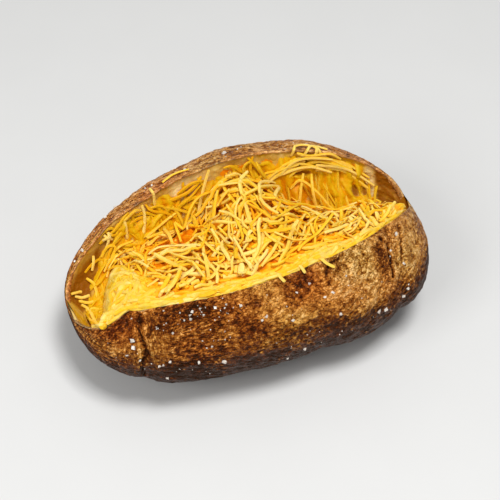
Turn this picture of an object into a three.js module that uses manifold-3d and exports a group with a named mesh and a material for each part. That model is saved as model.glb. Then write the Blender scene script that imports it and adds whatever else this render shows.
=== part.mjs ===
// A baked potato, split along its top, pressed open and filled with shredded cheddar, with coarse salt
// on its skin. Millimetres, +Z up. The potato lies along X on the plane z = 0, with its fat end at +X and
// the taller half of its split at +Y. The origin is under the middle of its bounding box.

import * as THREE from "three";
import { mergeVertices } from "three/addons/utils/BufferGeometryUtils.js";
import Module from "manifold-3d";

const wasm = await Module();
wasm.setup();

const { clamp, degToRad, lerp, smoothstep } = THREE.MathUtils;

// Driving sizes of the potato.
const LENGTH = 140;
const NEAR_WIDTH = 47; // from the middle of the split to the skin of the near half
const FAR_WIDTH = 45;
const NEAR_RISE = 27; // from the widest level to where the near half would close over
const FAR_RISE = 32;
const WIDEST_LEVEL = 30; // height of the widest level, where both ends lie too
const DEPTH_BELOW = 31; // the belly is pressed flat on the table by the difference
const FAT_END = 0.1; // the +X end is this share thicker than the middle
const NEAR_LIP_ANGLE = degToRad(130); // from +Y, up and over, to each edge of the split
const FAR_LIP_ANGLE = degToRad(57);
const NEAR_LIP_CLIMB = degToRad(20); // how far the edges climb towards the ends
const NEAR_LIP_DIP = degToRad(18); // how far the near edge drops again at the thin end
const FAR_LIP_CLIMB = degToRad(7);
const FLOOR_BELOW = 6; // how far the floor of the split lies under the widest level
const END_NOTCH = 5; // how deep the split cuts into both ends

// Bluntness of the ends: 2 is an ellipse, and more is squarer.
const NEAR_BLUNTNESS = 2.9;
const FAR_BLUNTNESS = 2.0;
const NEAR_TOP_BLUNTNESS = 2.0;
const FAR_TOP_BLUNTNESS = 1.8;
const BELLY_BLUNTNESS = 2.6;
const FLOOR_BLUNTNESS = 6;
const SECTION_SQUARENESS = 0.92; // under 1 fills the corners of a cross-section

// Relief of skin and crumb. A crease runs down the skin at its place along X.
const SKIN_SWELL = 0.9;
const SKIN_SWELL_LENGTH = 38;
const FLESH_CRAG = 0.8;
const FLESH_CRAG_LENGTH = 17;
const CREASES = [
  { x: -51, width: 3.2, depth: 1.3 },
  { x: 14, width: 4.0, depth: 0.9 },
  { x: 48, width: 3.0, depth: 1.1 },
];

// Mesh of the potato: stations along X, and points round the skin and across the crumb.
const STATIONS = 36;
const CROWDING = 0.85; // 0 spaces the stations evenly, 1 crowds them most towards the ends
const SKIN_POINTS = 42;
const FLESH_POINTS = 17;

// Grains of salt: most lie on the near half, thickest towards the thin end.
const SALT_GRAINS = 34;
const SALT_ON_FAR_HALF = 0.2;
const SALT_SIZE = [0.9, 1.6];

// Driving sizes of the cheese. A share is a place across the split: 0 at its far edge, 1 at its near edge.
const GAP = 0.4; // between the cheese and the potato
const HEAP_ENDS = 0.94; // the heap ends at this share of the half length
const HEAP_FOOT = 0.25; // where the heap meets the far wall
const HIGH_FOOT = { x: 5, reach: 12, drop: 0.14 }; // where it is piled up against that wall
const FOOT_AT_FAT_END = 0.46;
const FOOT_AT_THIN_END = 0.77;
const FILM_EDGE = 0.07; // in the fat half a film of melted cheese runs up the far wall to here
const HEAP_NEAR_SHARE = 0.975;
const HEAP_MOUND = 4.6; // rise of the top over a straight line between foot and near edge
const HEAP_LUMP = 1.2;
const HEAP_LUMP_LENGTH = 21;
const HEAP_THINNEST = 1.4;
const HEAP_STATIONS = 22;
const HEAP_POINTS = 10; // across the top of the heap, and as many across its underside

// Shreds of cheese: square bars along bent paths. ACROSS is the way from edge to edge over the heap.
const SHRED_WIDTH = 1.8;
const SHRED_COUNT = 44;
const SHRED_LENGTH = [12, 32];
const SHRED_CURL = 2.2; // the most that a shred turns from end to end, in radians
const SHRED_STEPS = 5;
const SHRED_SINK = 0.35; // how deep shreds press into what they lie on
const ACROSS = 72;
const SEED = 20;
const FINEST_EDGE = 0.03; // shorter edges, left where solids meet at a glance, are merged away

// Long shreds that lean on the far wall or span the groove, by hand: a start, the mean direction in radians
// (0 along +X, a right angle towards the near edge), a length and the turn from end to end.
const LEANING_SHREDS = [
  { x: -4, across: 2, heading: 2.06, length: 21, curl: 0.1 },
  { x: -22, across: 28, heading: -0.6, length: 38, curl: 1.6 },
  { x: -38, across: 24, heading: 0.35, length: 28, curl: 2.4 },
  { x: -33, across: 18, heading: -0.35, length: 16, curl: 0.4 },
  { x: -32, across: 3, heading: 1.7, length: 14, curl: 0.2 },
  { x: -41, across: 4, heading: 1.5, length: 13, curl: -0.3 },
  { x: -49, across: 20, heading: 1.0, length: 24, curl: -0.7 },
  { x: -35, across: 31, heading: 0.35, length: 28, curl: -0.5 },
  { x: 20, across: 11, heading: -0.15, length: 34, curl: 0.7 },
  { x: 26, across: 14, heading: 0.5, length: 26, curl: 1.4 },
  { x: 34, across: 7, heading: 1.7, length: 21, curl: 0.2 },
  { x: 41, across: 7, heading: 1.5, length: 20, curl: -0.2 },
];

// Falls from 1 in the middle of the potato (t = 0) to 0 at its ends (t = -1 and 1).
function taper(t, bluntness) {
  return (1 - Math.min(1, Math.abs(t)) ** bluntness) ** (1 / bluntness);
}

function signedPower(value, power) {
  return Math.sign(value) * Math.abs(value) ** power;
}

// A smooth unevenness of about -1 to 1, from three crossed waves.
function unevenness(x, y, z, wavelength) {
  const k = (2 * Math.PI) / wavelength;
  const along = Math.sin(k * (x + 0.35 * z)) * Math.cos(k * (0.7 * y + 0.2 * x) + 1.3);
  const across = Math.sin(k * (1.4 * y - 0.9 * z) + 2.1);
  const upward = Math.cos(k * (1.2 * z + 0.6 * x) + 0.7);
  return 0.5 * along + 0.3 * across + 0.2 * upward;
}

// Random numbers from 0 to 1 that are the same on every run.
function randomFrom(seed) {
  let state = seed;
  return () => {
    state = (state * 1664525 + 1013904223) % 4294967296;
    return state / 4294967296;
  };
}

function between(random, [low, high]) {
  return lerp(low, high, random());
}

// The sizes of the cross-section at t, which is -1 at the thin end and 1 at the fat end.
function sectionAt(t) {
  const girth = 1 + FAT_END * t;
  return {
    x: (t * LENGTH) / 2,
    near: NEAR_WIDTH * girth * taper(t, NEAR_BLUNTNESS),
    far: FAR_WIDTH * girth * taper(t, FAR_BLUNTNESS),
    nearTop: NEAR_RISE * girth * taper(t, NEAR_TOP_BLUNTNESS),
    farTop: FAR_RISE * girth * taper(t, FAR_TOP_BLUNTNESS),
    belly: DEPTH_BELOW * taper(t, BELLY_BLUNTNESS),
    floor: FLOOR_BELOW * taper(t, FLOOR_BLUNTNESS),
  };
}

// The angles of the two edges of the split at t.
function nearLipAngle(t) {
  return NEAR_LIP_ANGLE - NEAR_LIP_CLIMB * (t + 0.1) ** 2 + NEAR_LIP_DIP * smoothstep(-t, 0.72, 0.95);
}

function farLipAngle(t) {
  return FAR_LIP_ANGLE + FAR_LIP_CLIMB * t;
}

// How deep the creases of the near half cut in at a place.
function creaseDepth(x, across) {
  const reach = smoothstep(-across, 0.1, 0.6);
  let depth = 0;
  for (const crease of CREASES) {
    depth += crease.depth * Math.exp(-(((x - crease.x) / crease.width) ** 2));
  }
  return depth * reach;
}

// A point of the skin, at an angle from +Y round the section.
function skinPoint(t, angle) {
  const s = sectionAt(t);
  const across = signedPower(Math.cos(angle), SECTION_SQUARENESS);
  const up = signedPower(Math.sin(angle), SECTION_SQUARENESS);
  const top = lerp(s.nearTop, s.farTop, smoothstep(across, -1, 1));
  const y = across * (across < 0 ? s.near : s.far);
  const z = up * (up < 0 ? s.belly : top);
  const relief = SKIN_SWELL * unevenness(s.x, y, z, SKIN_SWELL_LENGTH) - creaseDepth(s.x, across);
  const stretch = 1 + (relief * taper(t, 4)) / (Math.hypot(y, z) || 1);
  return new THREE.Vector3(s.x, y * stretch, WIDEST_LEVEL + z * stretch);
}

// A point of the crumb inside the split, at a share of the way across it.
function fleshPoint(t, share) {
  const s = sectionAt(t);
  const farEdge = skinPoint(t, farLipAngle(t));
  const nearEdge = skinPoint(t, nearLipAngle(t));
  const angle = Math.PI * share;
  const y = lerp(farEdge.y, nearEdge.y, (1 - Math.cos(angle)) / 2);
  const rim = lerp(farEdge.z, nearEdge.z, (1 - Math.cos(angle)) / 2);
  const z = lerp(rim, WIDEST_LEVEL - s.floor, Math.sin(angle));
  const roughness = unevenness(s.x, 1.7 * y, 1.5 * z, FLESH_CRAG_LENGTH);
  const crag = FLESH_CRAG * Math.sin(angle) * taper(t, 4) * roughness;
  const notch = Math.sign(t) * END_NOTCH * Math.abs(t) ** 12 * Math.sin(angle);
  return new THREE.Vector3(s.x - notch, y, z + crag);
}

// One closed surface through rings of points, from a first point to a last one.
function loft(firstPoint, rings, lastPoint) {
  const around = rings[0].length;
  const points = [firstPoint, ...rings.flat(), lastPoint];
  const last = points.length - 1;
  const corner = (ring, place) => 1 + ring * around + (place % around);
  const faces = [];
  for (let place = 0; place < around; place++) {
    faces.push(0, corner(0, place + 1), corner(0, place));
    faces.push(last, corner(rings.length - 1, place), corner(rings.length - 1, place + 1));
    for (let ring = 0; ring + 1 < rings.length; ring++) {
      const a = corner(ring, place);
      const b = corner(ring, place + 1);
      const c = corner(ring + 1, place + 1);
      const d = corner(ring + 1, place);
      faces.push(a, b, c, a, c, d);
    }
  }
  const geometry = new THREE.BufferGeometry();
  geometry.setAttribute("position", new THREE.Float32BufferAttribute(points.flatMap((p) => p.toArray()), 3));
  geometry.setIndex(faces);
  return geometry;
}

// From three.js geometry to a solid that can be joined and cut, and back.
function solidOf(geometry) {
  geometry.deleteAttribute("normal");
  geometry.deleteAttribute("uv");
  const merged = mergeVertices(geometry, 1e-4);
  const vertProperties = merged.attributes.position.array;
  const triVerts = Uint32Array.from(merged.index.array);
  return new wasm.Manifold(new wasm.Mesh({ numProp: 3, vertProperties, triVerts }));
}

function geometryOf(solid) {
  const mesh = solid.getMesh();
  const geometry = new THREE.BufferGeometry();
  geometry.setAttribute("position", new THREE.BufferAttribute(mesh.vertProperties, 3));
  geometry.setIndex(new THREE.BufferAttribute(mesh.triVerts, 1));
  return geometry;
}

// Joins solids and keeps the largest body, with its sealed hollows filled.
function joined(solids) {
  return largest(wasm.Manifold.union(solids));
}

function largest(solid) {
  const bodies = solid.decompose();
  return bodies.reduce((best, body) => (body.volume() > best.volume() ? body : best));
}

// The potato itself. With grow, its crumb stands out by that much, as the room that the cheese leaves.
function potatoGeometry(grow) {
  const rings = [];
  for (let index = 0; index < STATIONS; index++) {
    const even = (2 * (index + 1)) / (STATIONS + 1) - 1;
    const t = lerp(even, Math.sin((Math.PI / 2) * even), CROWDING);
    const ring = [];
    for (let place = 0; place < SKIN_POINTS; place++) {
      const angle = lerp(nearLipAngle(t), farLipAngle(t) + 2 * Math.PI, place / (SKIN_POINTS - 1));
      const point = skinPoint(t, angle);
      const outward = new THREE.Vector3(0, point.y, point.z - WIDEST_LEVEL).setLength(grow);
      if (place === 0) outward.addScaledVector(fleshNormal(t, 1), grow);
      if (place === SKIN_POINTS - 1) outward.addScaledVector(fleshNormal(t, 0), grow);
      point.add(outward);
      point.z = Math.max(0, point.z);
      ring.push(point);
    }
    for (let place = 1; place < FLESH_POINTS; place++) {
      const share = place / FLESH_POINTS;
      ring.push(fleshPoint(t, share).addScaledVector(fleshNormal(t, share), grow));
    }
    rings.push(ring);
  }
  const thinEnd = new THREE.Vector3(-LENGTH / 2 - grow, 0, WIDEST_LEVEL);
  const fatEnd = new THREE.Vector3(LENGTH / 2 + grow, 0, WIDEST_LEVEL);
  return loft(thinEnd, rings, fatEnd);
}

// The way out of a surface that is given by a function of t and share.
function normalOf(surface, t, share) {
  const step = 0.004;
  const along = surface(t + step, share).sub(surface(t - step, share));
  const across = surface(t, share + step).sub(surface(t, share - step));
  return across.cross(along).normalize();
}

function fleshNormal(t, share) {
  return normalOf(fleshPoint, clamp(t, -0.99, 0.99), clamp(share, 0.01, 0.99));
}

// Grains of salt half sunk in the skin.
function saltGrains() {
  const random = randomFrom(SEED);
  const grains = [];
  for (let index = 0; index < SALT_GRAINS; index++) {
    const t = lerp(-0.85, 0.8, random() ** 1.5);
    const onFarHalf = random() < SALT_ON_FAR_HALF;
    const down = random() ** 1.5;
    const angle = onFarHalf ? farLipAngle(t) - 0.1 - 0.5 * down : nearLipAngle(t) + 0.1 + 1.1 * down;
    const size = between(random, SALT_SIZE);
    const flat = [0.6, 1];
    const grain = new THREE.BoxGeometry(size, size * between(random, flat), size * between(random, flat));
    grain.rotateX(Math.PI * random());
    grain.rotateZ(Math.PI * random());
    grain.translate(...skinPoint(t, angle).toArray());
    grains.push(solidOf(grain));
  }
  return grains;
}

// Where the heap meets the walls of the split at t: its foot on the far wall, the edge of the film that
// runs further up there, and its near edge. At the ends it narrows and sinks.
function heapAt(t) {
  const x = (t * LENGTH) / 2;
  const high = HIGH_FOOT.drop * Math.exp(-(((x - HIGH_FOOT.x) / HIGH_FOOT.reach) ** 2));
  let foot = lerp(HEAP_FOOT - high, FOOT_AT_FAT_END - 0.1, smoothstep(x, 15, 40));
  foot = lerp(foot, FOOT_AT_FAT_END, smoothstep(x, 48, 64));
  foot = lerp(foot, FOOT_AT_THIN_END, smoothstep(-x, 47, 66));
  const film = lerp(FILM_EDGE, FOOT_AT_FAT_END, smoothstep(x, 57, 66));
  return {
    foot,
    far: lerp(foot, film, smoothstep(x, 18, 30)),
    near: HEAP_NEAR_SHARE - 0.1 * smoothstep(x, 60, 66),
    fullness: 1 - smoothstep(Math.abs(t), HEAP_ENDS - 0.08, HEAP_ENDS + 0.01),
  };
}

// The surface that shreds lie on: the heap's top, and the bare crumb beyond it.
function carrierPoint(t, share) {
  const flesh = fleshPoint(t, share);
  const heap = heapAt(t);
  if (share <= heap.far || share >= heap.near) return flesh;
  const foot = fleshPoint(t, heap.foot);
  const nearEdge = fleshPoint(t, heap.near);
  const way = clamp((flesh.y - foot.y) / (nearEdge.y - foot.y), 0, 1);
  const lump = HEAP_LUMP * unevenness(flesh.x, flesh.y, 0, HEAP_LUMP_LENGTH);
  const mound = (HEAP_MOUND + lump) * heap.fullness * Math.sin(Math.PI * way);
  const top = lerp(foot.z, nearEdge.z, way) + mound;
  return new THREE.Vector3(flesh.x, flesh.y, way > 0 ? Math.max(flesh.z, top) : flesh.z);
}

function carrierNormal(t, share) {
  return normalOf(carrierPoint, clamp(t, -0.99, 0.99), clamp(share, 0.01, 0.99));
}

// The body of the heap: its underside follows the crumb, its top the carrier.
function heapGeometry() {
  const rings = [];
  for (let index = 0; index < HEAP_STATIONS; index++) {
    const t = HEAP_ENDS * Math.sin((Math.PI / 2) * ((2 * (index + 0.5)) / HEAP_STATIONS - 1));
    const heap = heapAt(t);
    const shares = Array.from({ length: HEAP_POINTS }, (_, place) =>
      lerp(heap.far, heap.near, (1 - Math.cos((Math.PI * place) / (HEAP_POINTS - 1))) / 2),
    );
    const underside = [];
    const top = [];
    for (const share of shares) {
      const normal = fleshNormal(t, share);
      const low = fleshPoint(t, share).addScaledVector(normal, 2 * GAP);
      const high = carrierPoint(t, share);
      const thickness = high.clone().sub(low).dot(normal);
      if (thickness < HEAP_THINNEST) high.copy(low).addScaledVector(normal, HEAP_THINNEST);
      underside.unshift(low);
      top.push(high);
    }
    rings.push([...top, ...underside]);
  }
  return loft(middleOf(rings[0]), rings, middleOf(rings.at(-1)));
}

function middleOf(points) {
  const middle = new THREE.Vector3();
  for (const point of points) middle.addScaledVector(point, 1 / points.length);
  return middle;
}

// A map of how high cheese already lies over the carrier, one cell a millimetre.
class Cover {
  constructor() {
    this.heights = new Float32Array(LENGTH * ACROSS);
  }

  cell(x, across) {
    const column = clamp(Math.floor(x + LENGTH / 2), 0, LENGTH - 1);
    const row = clamp(Math.floor(across), 0, ACROSS - 1);
    return column * ACROSS + row;
  }

  // Calls visit with every cell within a radius of a place.
  around(x, across, radius, visit) {
    for (let dx = -radius; dx <= radius; dx++) {
      for (let dy = -radius; dy <= radius; dy++) {
        if (Math.hypot(dx, dy) <= radius) visit(this.cell(x + dx, across + dy));
      }
    }
  }

  highest(x, across) {
    let height = 0;
    this.around(x, across, 1, (cell) => {
      height = Math.max(height, this.heights[cell]);
    });
    return height;
  }

  raise(x, across, height) {
    this.around(x, across, 1, (cell) => {
      this.heights[cell] = Math.max(this.heights[cell], height);
    });
  }
}

// Points of a shred in the surface: from a place, in a direction, bending evenly by curl.
function shredRoute({ x, across, heading, length, curl }) {
  const route = [];
  const pieces = 3 * SHRED_STEPS;
  const place = { x, across };
  for (let index = 0; index <= pieces; index++) {
    route.push({ ...place });
    const direction = heading + curl * (index / pieces - 0.5);
    place.x += (Math.cos(direction) * length) / pieces;
    place.across += (Math.sin(direction) * length) / pieces;
  }
  return route;
}

// Lays a shred over what lies there already: it touches the high places and bridges the low ones.
function laidShred(cover, plan) {
  const route = shredRoute(plan);
  const support = route.map(({ x, across }) => cover.highest(x, across) + SHRED_WIDTH / 2 - SHRED_SINK);
  const heights = [...support];
  for (let round = 0; round < 40; round++) {
    for (let index = 1; index + 1 < heights.length; index++) {
      const straight = (heights[index - 1] + heights[index + 1]) / 2;
      heights[index] = Math.max(support[index], straight - 0.05);
    }
  }
  const points = route.map(({ x, across }, index) => {
    const t = (2 * x) / LENGTH;
    const share = across / ACROSS;
    return carrierPoint(t, share).addScaledVector(carrierNormal(t, share), heights[index]);
  });
  route.forEach(({ x, across }, index) => cover.raise(x, across, heights[index] + SHRED_WIDTH / 2));
  const half = SHRED_WIDTH / 2;
  const section = new THREE.Shape([
    new THREE.Vector2(-half, -half),
    new THREE.Vector2(half, -half),
    new THREE.Vector2(half, half),
    new THREE.Vector2(-half, half),
  ]);
  const extrudePath = new THREE.CatmullRomCurve3(points);
  return new THREE.ExtrudeGeometry(section, { steps: SHRED_STEPS, extrudePath, bevelEnabled: false });
}

function staysOnTheHeap(plan) {
  return shredRoute(plan).every(({ x, across }) => {
    const t = (2 * x) / LENGTH;
    const heap = heapAt(clamp(t, -1, 1));
    const share = across / ACROSS;
    return Math.abs(t) < 0.9 * HEAP_ENDS && share > heap.foot - 0.05 && share < heap.near;
  });
}

// A shred that starts in its own slice of the heap's length, so that the shreds spread evenly.
function randomPlan(random, slice) {
  return {
    x: ((slice + random()) / SHRED_COUNT - 0.5) * 0.9 * HEAP_ENDS * LENGTH,
    across: ACROSS * random(),
    heading: 2 * Math.PI * random(),
    length: between(random, SHRED_LENGTH),
    curl: SHRED_CURL * (2 * random() - 1),
  };
}

// The heap with the shreds that show, as one solid clear of the potato.
function cheeseSolid() {
  const random = randomFrom(SEED);
  const cover = new Cover();
  const plans = [];
  while (plans.length < SHRED_COUNT) {
    const plan = randomPlan(random, plans.length);
    if (staysOnTheHeap(plan)) plans.push(plan);
  }
  plans.push(...LEANING_SHREDS);
  const shreds = plans.map((plan) => solidOf(laidShred(cover, plan)));
  const heap = joined([solidOf(heapGeometry()), ...shreds]);
  return largest(heap.subtract(solidOf(potatoGeometry(GAP))));
}

function namedMesh(name, solid, color, roughness) {
  const material = new THREE.MeshStandardMaterial({ color, roughness, metalness: 0 });
  const mesh = new THREE.Mesh(geometryOf(solid.simplify(FINEST_EDGE)), material);
  mesh.name = name;
  return mesh;
}

const bakedPotato = new THREE.Group();
bakedPotato.add(namedMesh("potato", joined([solidOf(potatoGeometry(0)), ...saltGrains()]), 0x8a5a2c, 0.55));
bakedPotato.add(namedMesh("cheese", cheeseSolid(), 0xf2b93c, 0.45));

// The halves differ in width, so the whole is moved to bring its middle over the origin.
const box = new THREE.Box3().setFromObject(bakedPotato);
const middle = box.getCenter(new THREE.Vector3());
bakedPotato.position.set(-middle.x, -middle.y, -box.min.z);

export default bakedPotato;
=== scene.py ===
"""A baked potato, split along its top, pressed open and filled with shredded cheddar, with coarse
salt on its skin. Lengths in this file are millimetres until a mesh is made. The potato lies along X
with its thin end at -X, and the taller half of its split is at +Y. Two places on it are given as
numbers: x along it, and "across", the way over the filling from the far edge of the split (0) to its
near edge (ACROSS)."""

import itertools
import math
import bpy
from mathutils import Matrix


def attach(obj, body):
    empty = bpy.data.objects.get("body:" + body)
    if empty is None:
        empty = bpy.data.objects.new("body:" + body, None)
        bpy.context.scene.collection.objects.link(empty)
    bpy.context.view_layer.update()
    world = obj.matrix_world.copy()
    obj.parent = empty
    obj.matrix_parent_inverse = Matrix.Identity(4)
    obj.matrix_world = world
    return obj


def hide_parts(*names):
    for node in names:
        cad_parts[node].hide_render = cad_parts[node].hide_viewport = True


bl_info = {
    "name": "Baked potato with cheddar",
    "version": (1, 0, 0),
    "blender": (4, 5, 0),
    "location": "3D View > Sidebar > Potato",
    "description": "Dresses the packed baked potato with skin, crumb, cheese and salt",
    "category": "Object",
}

import bpy
import numpy as np
from mathutils import Vector

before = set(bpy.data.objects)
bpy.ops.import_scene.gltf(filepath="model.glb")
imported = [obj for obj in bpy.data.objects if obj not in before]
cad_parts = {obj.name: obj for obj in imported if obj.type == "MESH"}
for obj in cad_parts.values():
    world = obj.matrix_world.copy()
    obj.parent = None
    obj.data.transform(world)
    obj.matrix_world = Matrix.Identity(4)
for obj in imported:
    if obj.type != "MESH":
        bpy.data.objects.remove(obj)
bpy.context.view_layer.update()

MM = 0.001
BODY = "root"

# The form of the potato, as its solids have it.
LENGTH = 140.0
NEAR_WIDTH, FAR_WIDTH = 47.0, 45.0
NEAR_RISE, FAR_RISE = 27.0, 32.0
WIDEST_LEVEL, DEPTH_BELOW = 30.0, 31.0
FAT_END = 0.1
NEAR_LIP_ANGLE, FAR_LIP_ANGLE = math.radians(130), math.radians(57)
NEAR_LIP_CLIMB, FAR_LIP_CLIMB = math.radians(20), math.radians(7)
NEAR_LIP_DIP = math.radians(18)
FLOOR_BELOW, END_NOTCH = 6.0, 5.0
NEAR_BLUNTNESS, FAR_BLUNTNESS = 2.9, 2.0
NEAR_TOP_BLUNTNESS, FAR_TOP_BLUNTNESS = 2.0, 1.8
BELLY_BLUNTNESS, FLOOR_BLUNTNESS = 2.6, 6.0
SECTION_SQUARENESS = 0.92
SKIN_SWELL, SKIN_SWELL_LENGTH = 0.9, 38.0
FLESH_CRAG, FLESH_CRAG_LENGTH = 0.8, 17.0
CREASES = [(-51.0, 3.2, 1.3), (14.0, 4.0, 0.9), (48.0, 3.0, 1.1)]  # x, width and depth
MIDDLE_SHIFT = 1.133  # along Y, so that the middle of the whole is over the origin

# The form of the heap of cheese.
ACROSS = 72.0
HEAP_ENDS = 0.94
HEAP_FOOT, FOOT_AT_FAT_END, FOOT_AT_THIN_END = 0.25, 0.46, 0.77
HIGH_FOOT_X, HIGH_FOOT_REACH, HIGH_FOOT_DROP = 5.0, 12.0, 0.14
FILM_EDGE, HEAP_NEAR_SHARE = 0.07, 0.975
HEAP_MOUND, HEAP_LUMP, HEAP_LUMP_LENGTH = 4.6, 1.2, 21.0


def lerp(low, high, share):
    return low + (high - low) * share


def smoothstep(value, low, high):
    share = np.clip((value - low) / (high - low), 0, 1)
    return share * share * (3 - 2 * share)


def bell(value, middle, width):
    return np.exp(-(((value - middle) / width) ** 2))


def patch(x, s, middle_x, middle_s, width_x, width_s):
    """1 in the middle of an oval patch, falling softly to 0 round it."""
    return bell(x, middle_x, width_x) * bell(s, middle_s, width_s)


def unit(vectors):
    return vectors / np.maximum(np.linalg.norm(vectors, axis=-1, keepdims=True), 1e-9)


LATTICE = np.random.default_rng(5).permutation(256)
SLOPES = unit(np.random.default_rng(6).normal(size=(256, 3)))


def grain(points, size, seed):
    """Smooth noise of about -1 to 1, with features of the given size."""
    place = np.asarray(points, float) / size + 17.31 * seed
    cell = np.floor(place).astype(int)
    inner = place - cell
    fade = inner**3 * (inner * (inner * 6 - 15) + 10)
    total = 0
    for corner in itertools.product((0, 1), repeat=3):
        x, y, z = np.moveaxis((cell + corner) & 255, -1, 0)
        slope = SLOPES[LATTICE[(LATTICE[(LATTICE[x] + y) & 255] + z) & 255]]
        weight = np.prod(np.where(np.array(corner, bool), fade, 1 - fade), axis=-1)
        total = total + weight * np.sum(slope * (inner - corner), axis=-1)
    return 1.6 * total


def rough(points, size, seed, octaves=3):
    """Noise with ever finer features laid over each other."""
    return sum(grain(points, size / 2**k, seed + k) / 1.7**k for k in range(octaves))


def in_plane(x, across):
    """Places in a surface as points, to take noise at."""
    return np.stack([x, across, 0 * x], -1)


# ---- The laws of the form ----


def taper(t, bluntness):
    """Falls from 1 in the middle of the potato (t = 0) to 0 at its ends (t = -1 and 1)."""
    return (1 - np.minimum(1, np.abs(t)) ** bluntness) ** (1 / bluntness)


def signed_power(value, power):
    return np.sign(value) * np.abs(value) ** power


def unevenness(x, y, z, wavelength):
    k = 2 * math.pi / wavelength
    along = np.sin(k * (x + 0.35 * z)) * np.cos(k * (0.7 * y + 0.2 * x) + 1.3)
    across = np.sin(k * (1.4 * y - 0.9 * z) + 2.1)
    upward = np.cos(k * (1.2 * z + 0.6 * x) + 0.7)
    return 0.5 * along + 0.3 * across + 0.2 * upward


def near_lip_angle(t):
    dip = NEAR_LIP_DIP * smoothstep(-t, 0.72, 0.95)
    return NEAR_LIP_ANGLE - NEAR_LIP_CLIMB * (t + 0.1) ** 2 + dip


def far_lip_angle(t):
    return FAR_LIP_ANGLE + FAR_LIP_CLIMB * t


def skin_point(t, angle):
    """A point of the skin, at an angle from +Y round the section."""
    t, angle = np.broadcast_arrays(t, angle)
    girth = 1 + FAT_END * t
    x = t * LENGTH / 2
    across = signed_power(np.cos(angle), SECTION_SQUARENESS)
    up = signed_power(np.sin(angle), SECTION_SQUARENESS)
    near_top = NEAR_RISE * girth * taper(t, NEAR_TOP_BLUNTNESS)
    far_top = FAR_RISE * girth * taper(t, FAR_TOP_BLUNTNESS)
    top = lerp(near_top, far_top, smoothstep(across, -1, 1))
    near = NEAR_WIDTH * girth * taper(t, NEAR_BLUNTNESS)
    far = FAR_WIDTH * girth * taper(t, FAR_BLUNTNESS)
    y = across * np.where(across < 0, near, far)
    z = up * np.where(up < 0, DEPTH_BELOW * taper(t, BELLY_BLUNTNESS), top)
    creases = sum(depth * bell(x, place, width) for place, width, depth in CREASES)
    relief = SKIN_SWELL * unevenness(x, y, z, SKIN_SWELL_LENGTH)
    relief = relief - creases * smoothstep(-across, 0.1, 0.6)
    stretch = 1 + relief * taper(t, 4) / np.maximum(np.hypot(y, z), 1e-6)
    return np.stack([x, y * stretch, WIDEST_LEVEL + z * stretch], -1)


def flesh_point(t, share):
    """A point of the crumb inside the split, at a share of the way across it."""
    t, share = np.broadcast_arrays(t, share)
    far_edge = skin_point(t, far_lip_angle(t))
    near_edge = skin_point(t, near_lip_angle(t))
    angle = math.pi * share
    way = (1 - np.cos(angle)) / 2
    y = lerp(far_edge[..., 1], near_edge[..., 1], way)
    rim = lerp(far_edge[..., 2], near_edge[..., 2], way)
    floor = WIDEST_LEVEL - FLOOR_BELOW * taper(t, FLOOR_BLUNTNESS)
    z = lerp(rim, floor, np.sin(angle))
    x = t * LENGTH / 2
    crags = unevenness(x, 1.7 * y, 1.5 * z, FLESH_CRAG_LENGTH)
    z = z + FLESH_CRAG * np.sin(angle) * taper(t, 4) * crags
    notch = np.sign(t) * END_NOTCH * np.abs(t) ** 12 * np.sin(angle)
    return np.stack([x - notch, y, z], -1)


def heap_at(t):
    """The heap's foot on the far wall, its film's edge there, its near edge and its fullness."""
    x = t * LENGTH / 2
    high = HIGH_FOOT_DROP * bell(x, HIGH_FOOT_X, HIGH_FOOT_REACH)
    foot = lerp(HEAP_FOOT - high, FOOT_AT_FAT_END - 0.1, smoothstep(x, 15, 40))
    foot = lerp(foot, FOOT_AT_FAT_END, smoothstep(x, 48, 64))
    foot = lerp(foot, FOOT_AT_THIN_END, smoothstep(-x, 47, 66))
    film = lerp(FILM_EDGE, FOOT_AT_FAT_END, smoothstep(x, 57, 66))
    far = lerp(foot, film, smoothstep(x, 18, 30))
    near = HEAP_NEAR_SHARE - 0.1 * smoothstep(x, 60, 66)
    return foot, far, near, 1 - smoothstep(np.abs(t), HEAP_ENDS - 0.08, HEAP_ENDS + 0.01)


def foot_share(x):
    """The heap's foot on the far wall, as a share of the way across."""
    return heap_at(np.clip(x * 2 / LENGTH, -1, 1))[0]


def carrier_point(t, share):
    """The surface that shreds lie on: the heap's top, and the bare crumb beyond it."""
    t, share = np.broadcast_arrays(t, share)
    flesh = flesh_point(t, share)
    foot, far, near, fullness = heap_at(t)
    foot_point, near_point = flesh_point(t, foot), flesh_point(t, near)
    width = near_point[..., 1] - foot_point[..., 1]
    way = np.clip((flesh[..., 1] - foot_point[..., 1]) / np.where(width < 0, width, -1e-6), 0, 1)
    lump = HEAP_LUMP * unevenness(flesh[..., 0], flesh[..., 1], 0, HEAP_LUMP_LENGTH)
    mound = (HEAP_MOUND + lump) * fullness * np.sin(math.pi * way)
    top = lerp(foot_point[..., 2], near_point[..., 2], way) + mound
    inside = (share > far) & (share < near) & (way > 0)
    z = np.where(inside, np.maximum(flesh[..., 2], top), flesh[..., 2])
    return np.stack([flesh[..., 0], flesh[..., 1], z], -1)


def over_the_split(t, across):
    """The carrier, carried on over both edges of the split and down the skin."""
    inner = carrier_point(t, np.clip(across / ACROSS, 0, 1))
    reach = FAR_WIDTH
    far = skin_point(t, far_lip_angle(t) - np.maximum(0, -across) / reach)
    near = skin_point(t, near_lip_angle(t) + np.maximum(0, across - ACROSS) / reach)
    outside = (across < 0)[..., None] * far + (across > ACROSS)[..., None] * near
    within = ((across >= 0) & (across <= ACROSS))[..., None]
    return np.where(within, inner, outside)


def grid_normals(points):
    """The ways out of a surface whose points stand in rows along X and columns across it."""
    along = np.gradient(points, axis=0)
    across = np.gradient(points, axis=1)
    return unit(np.cross(across, along))


FINE_STEPS = 20001


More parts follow.
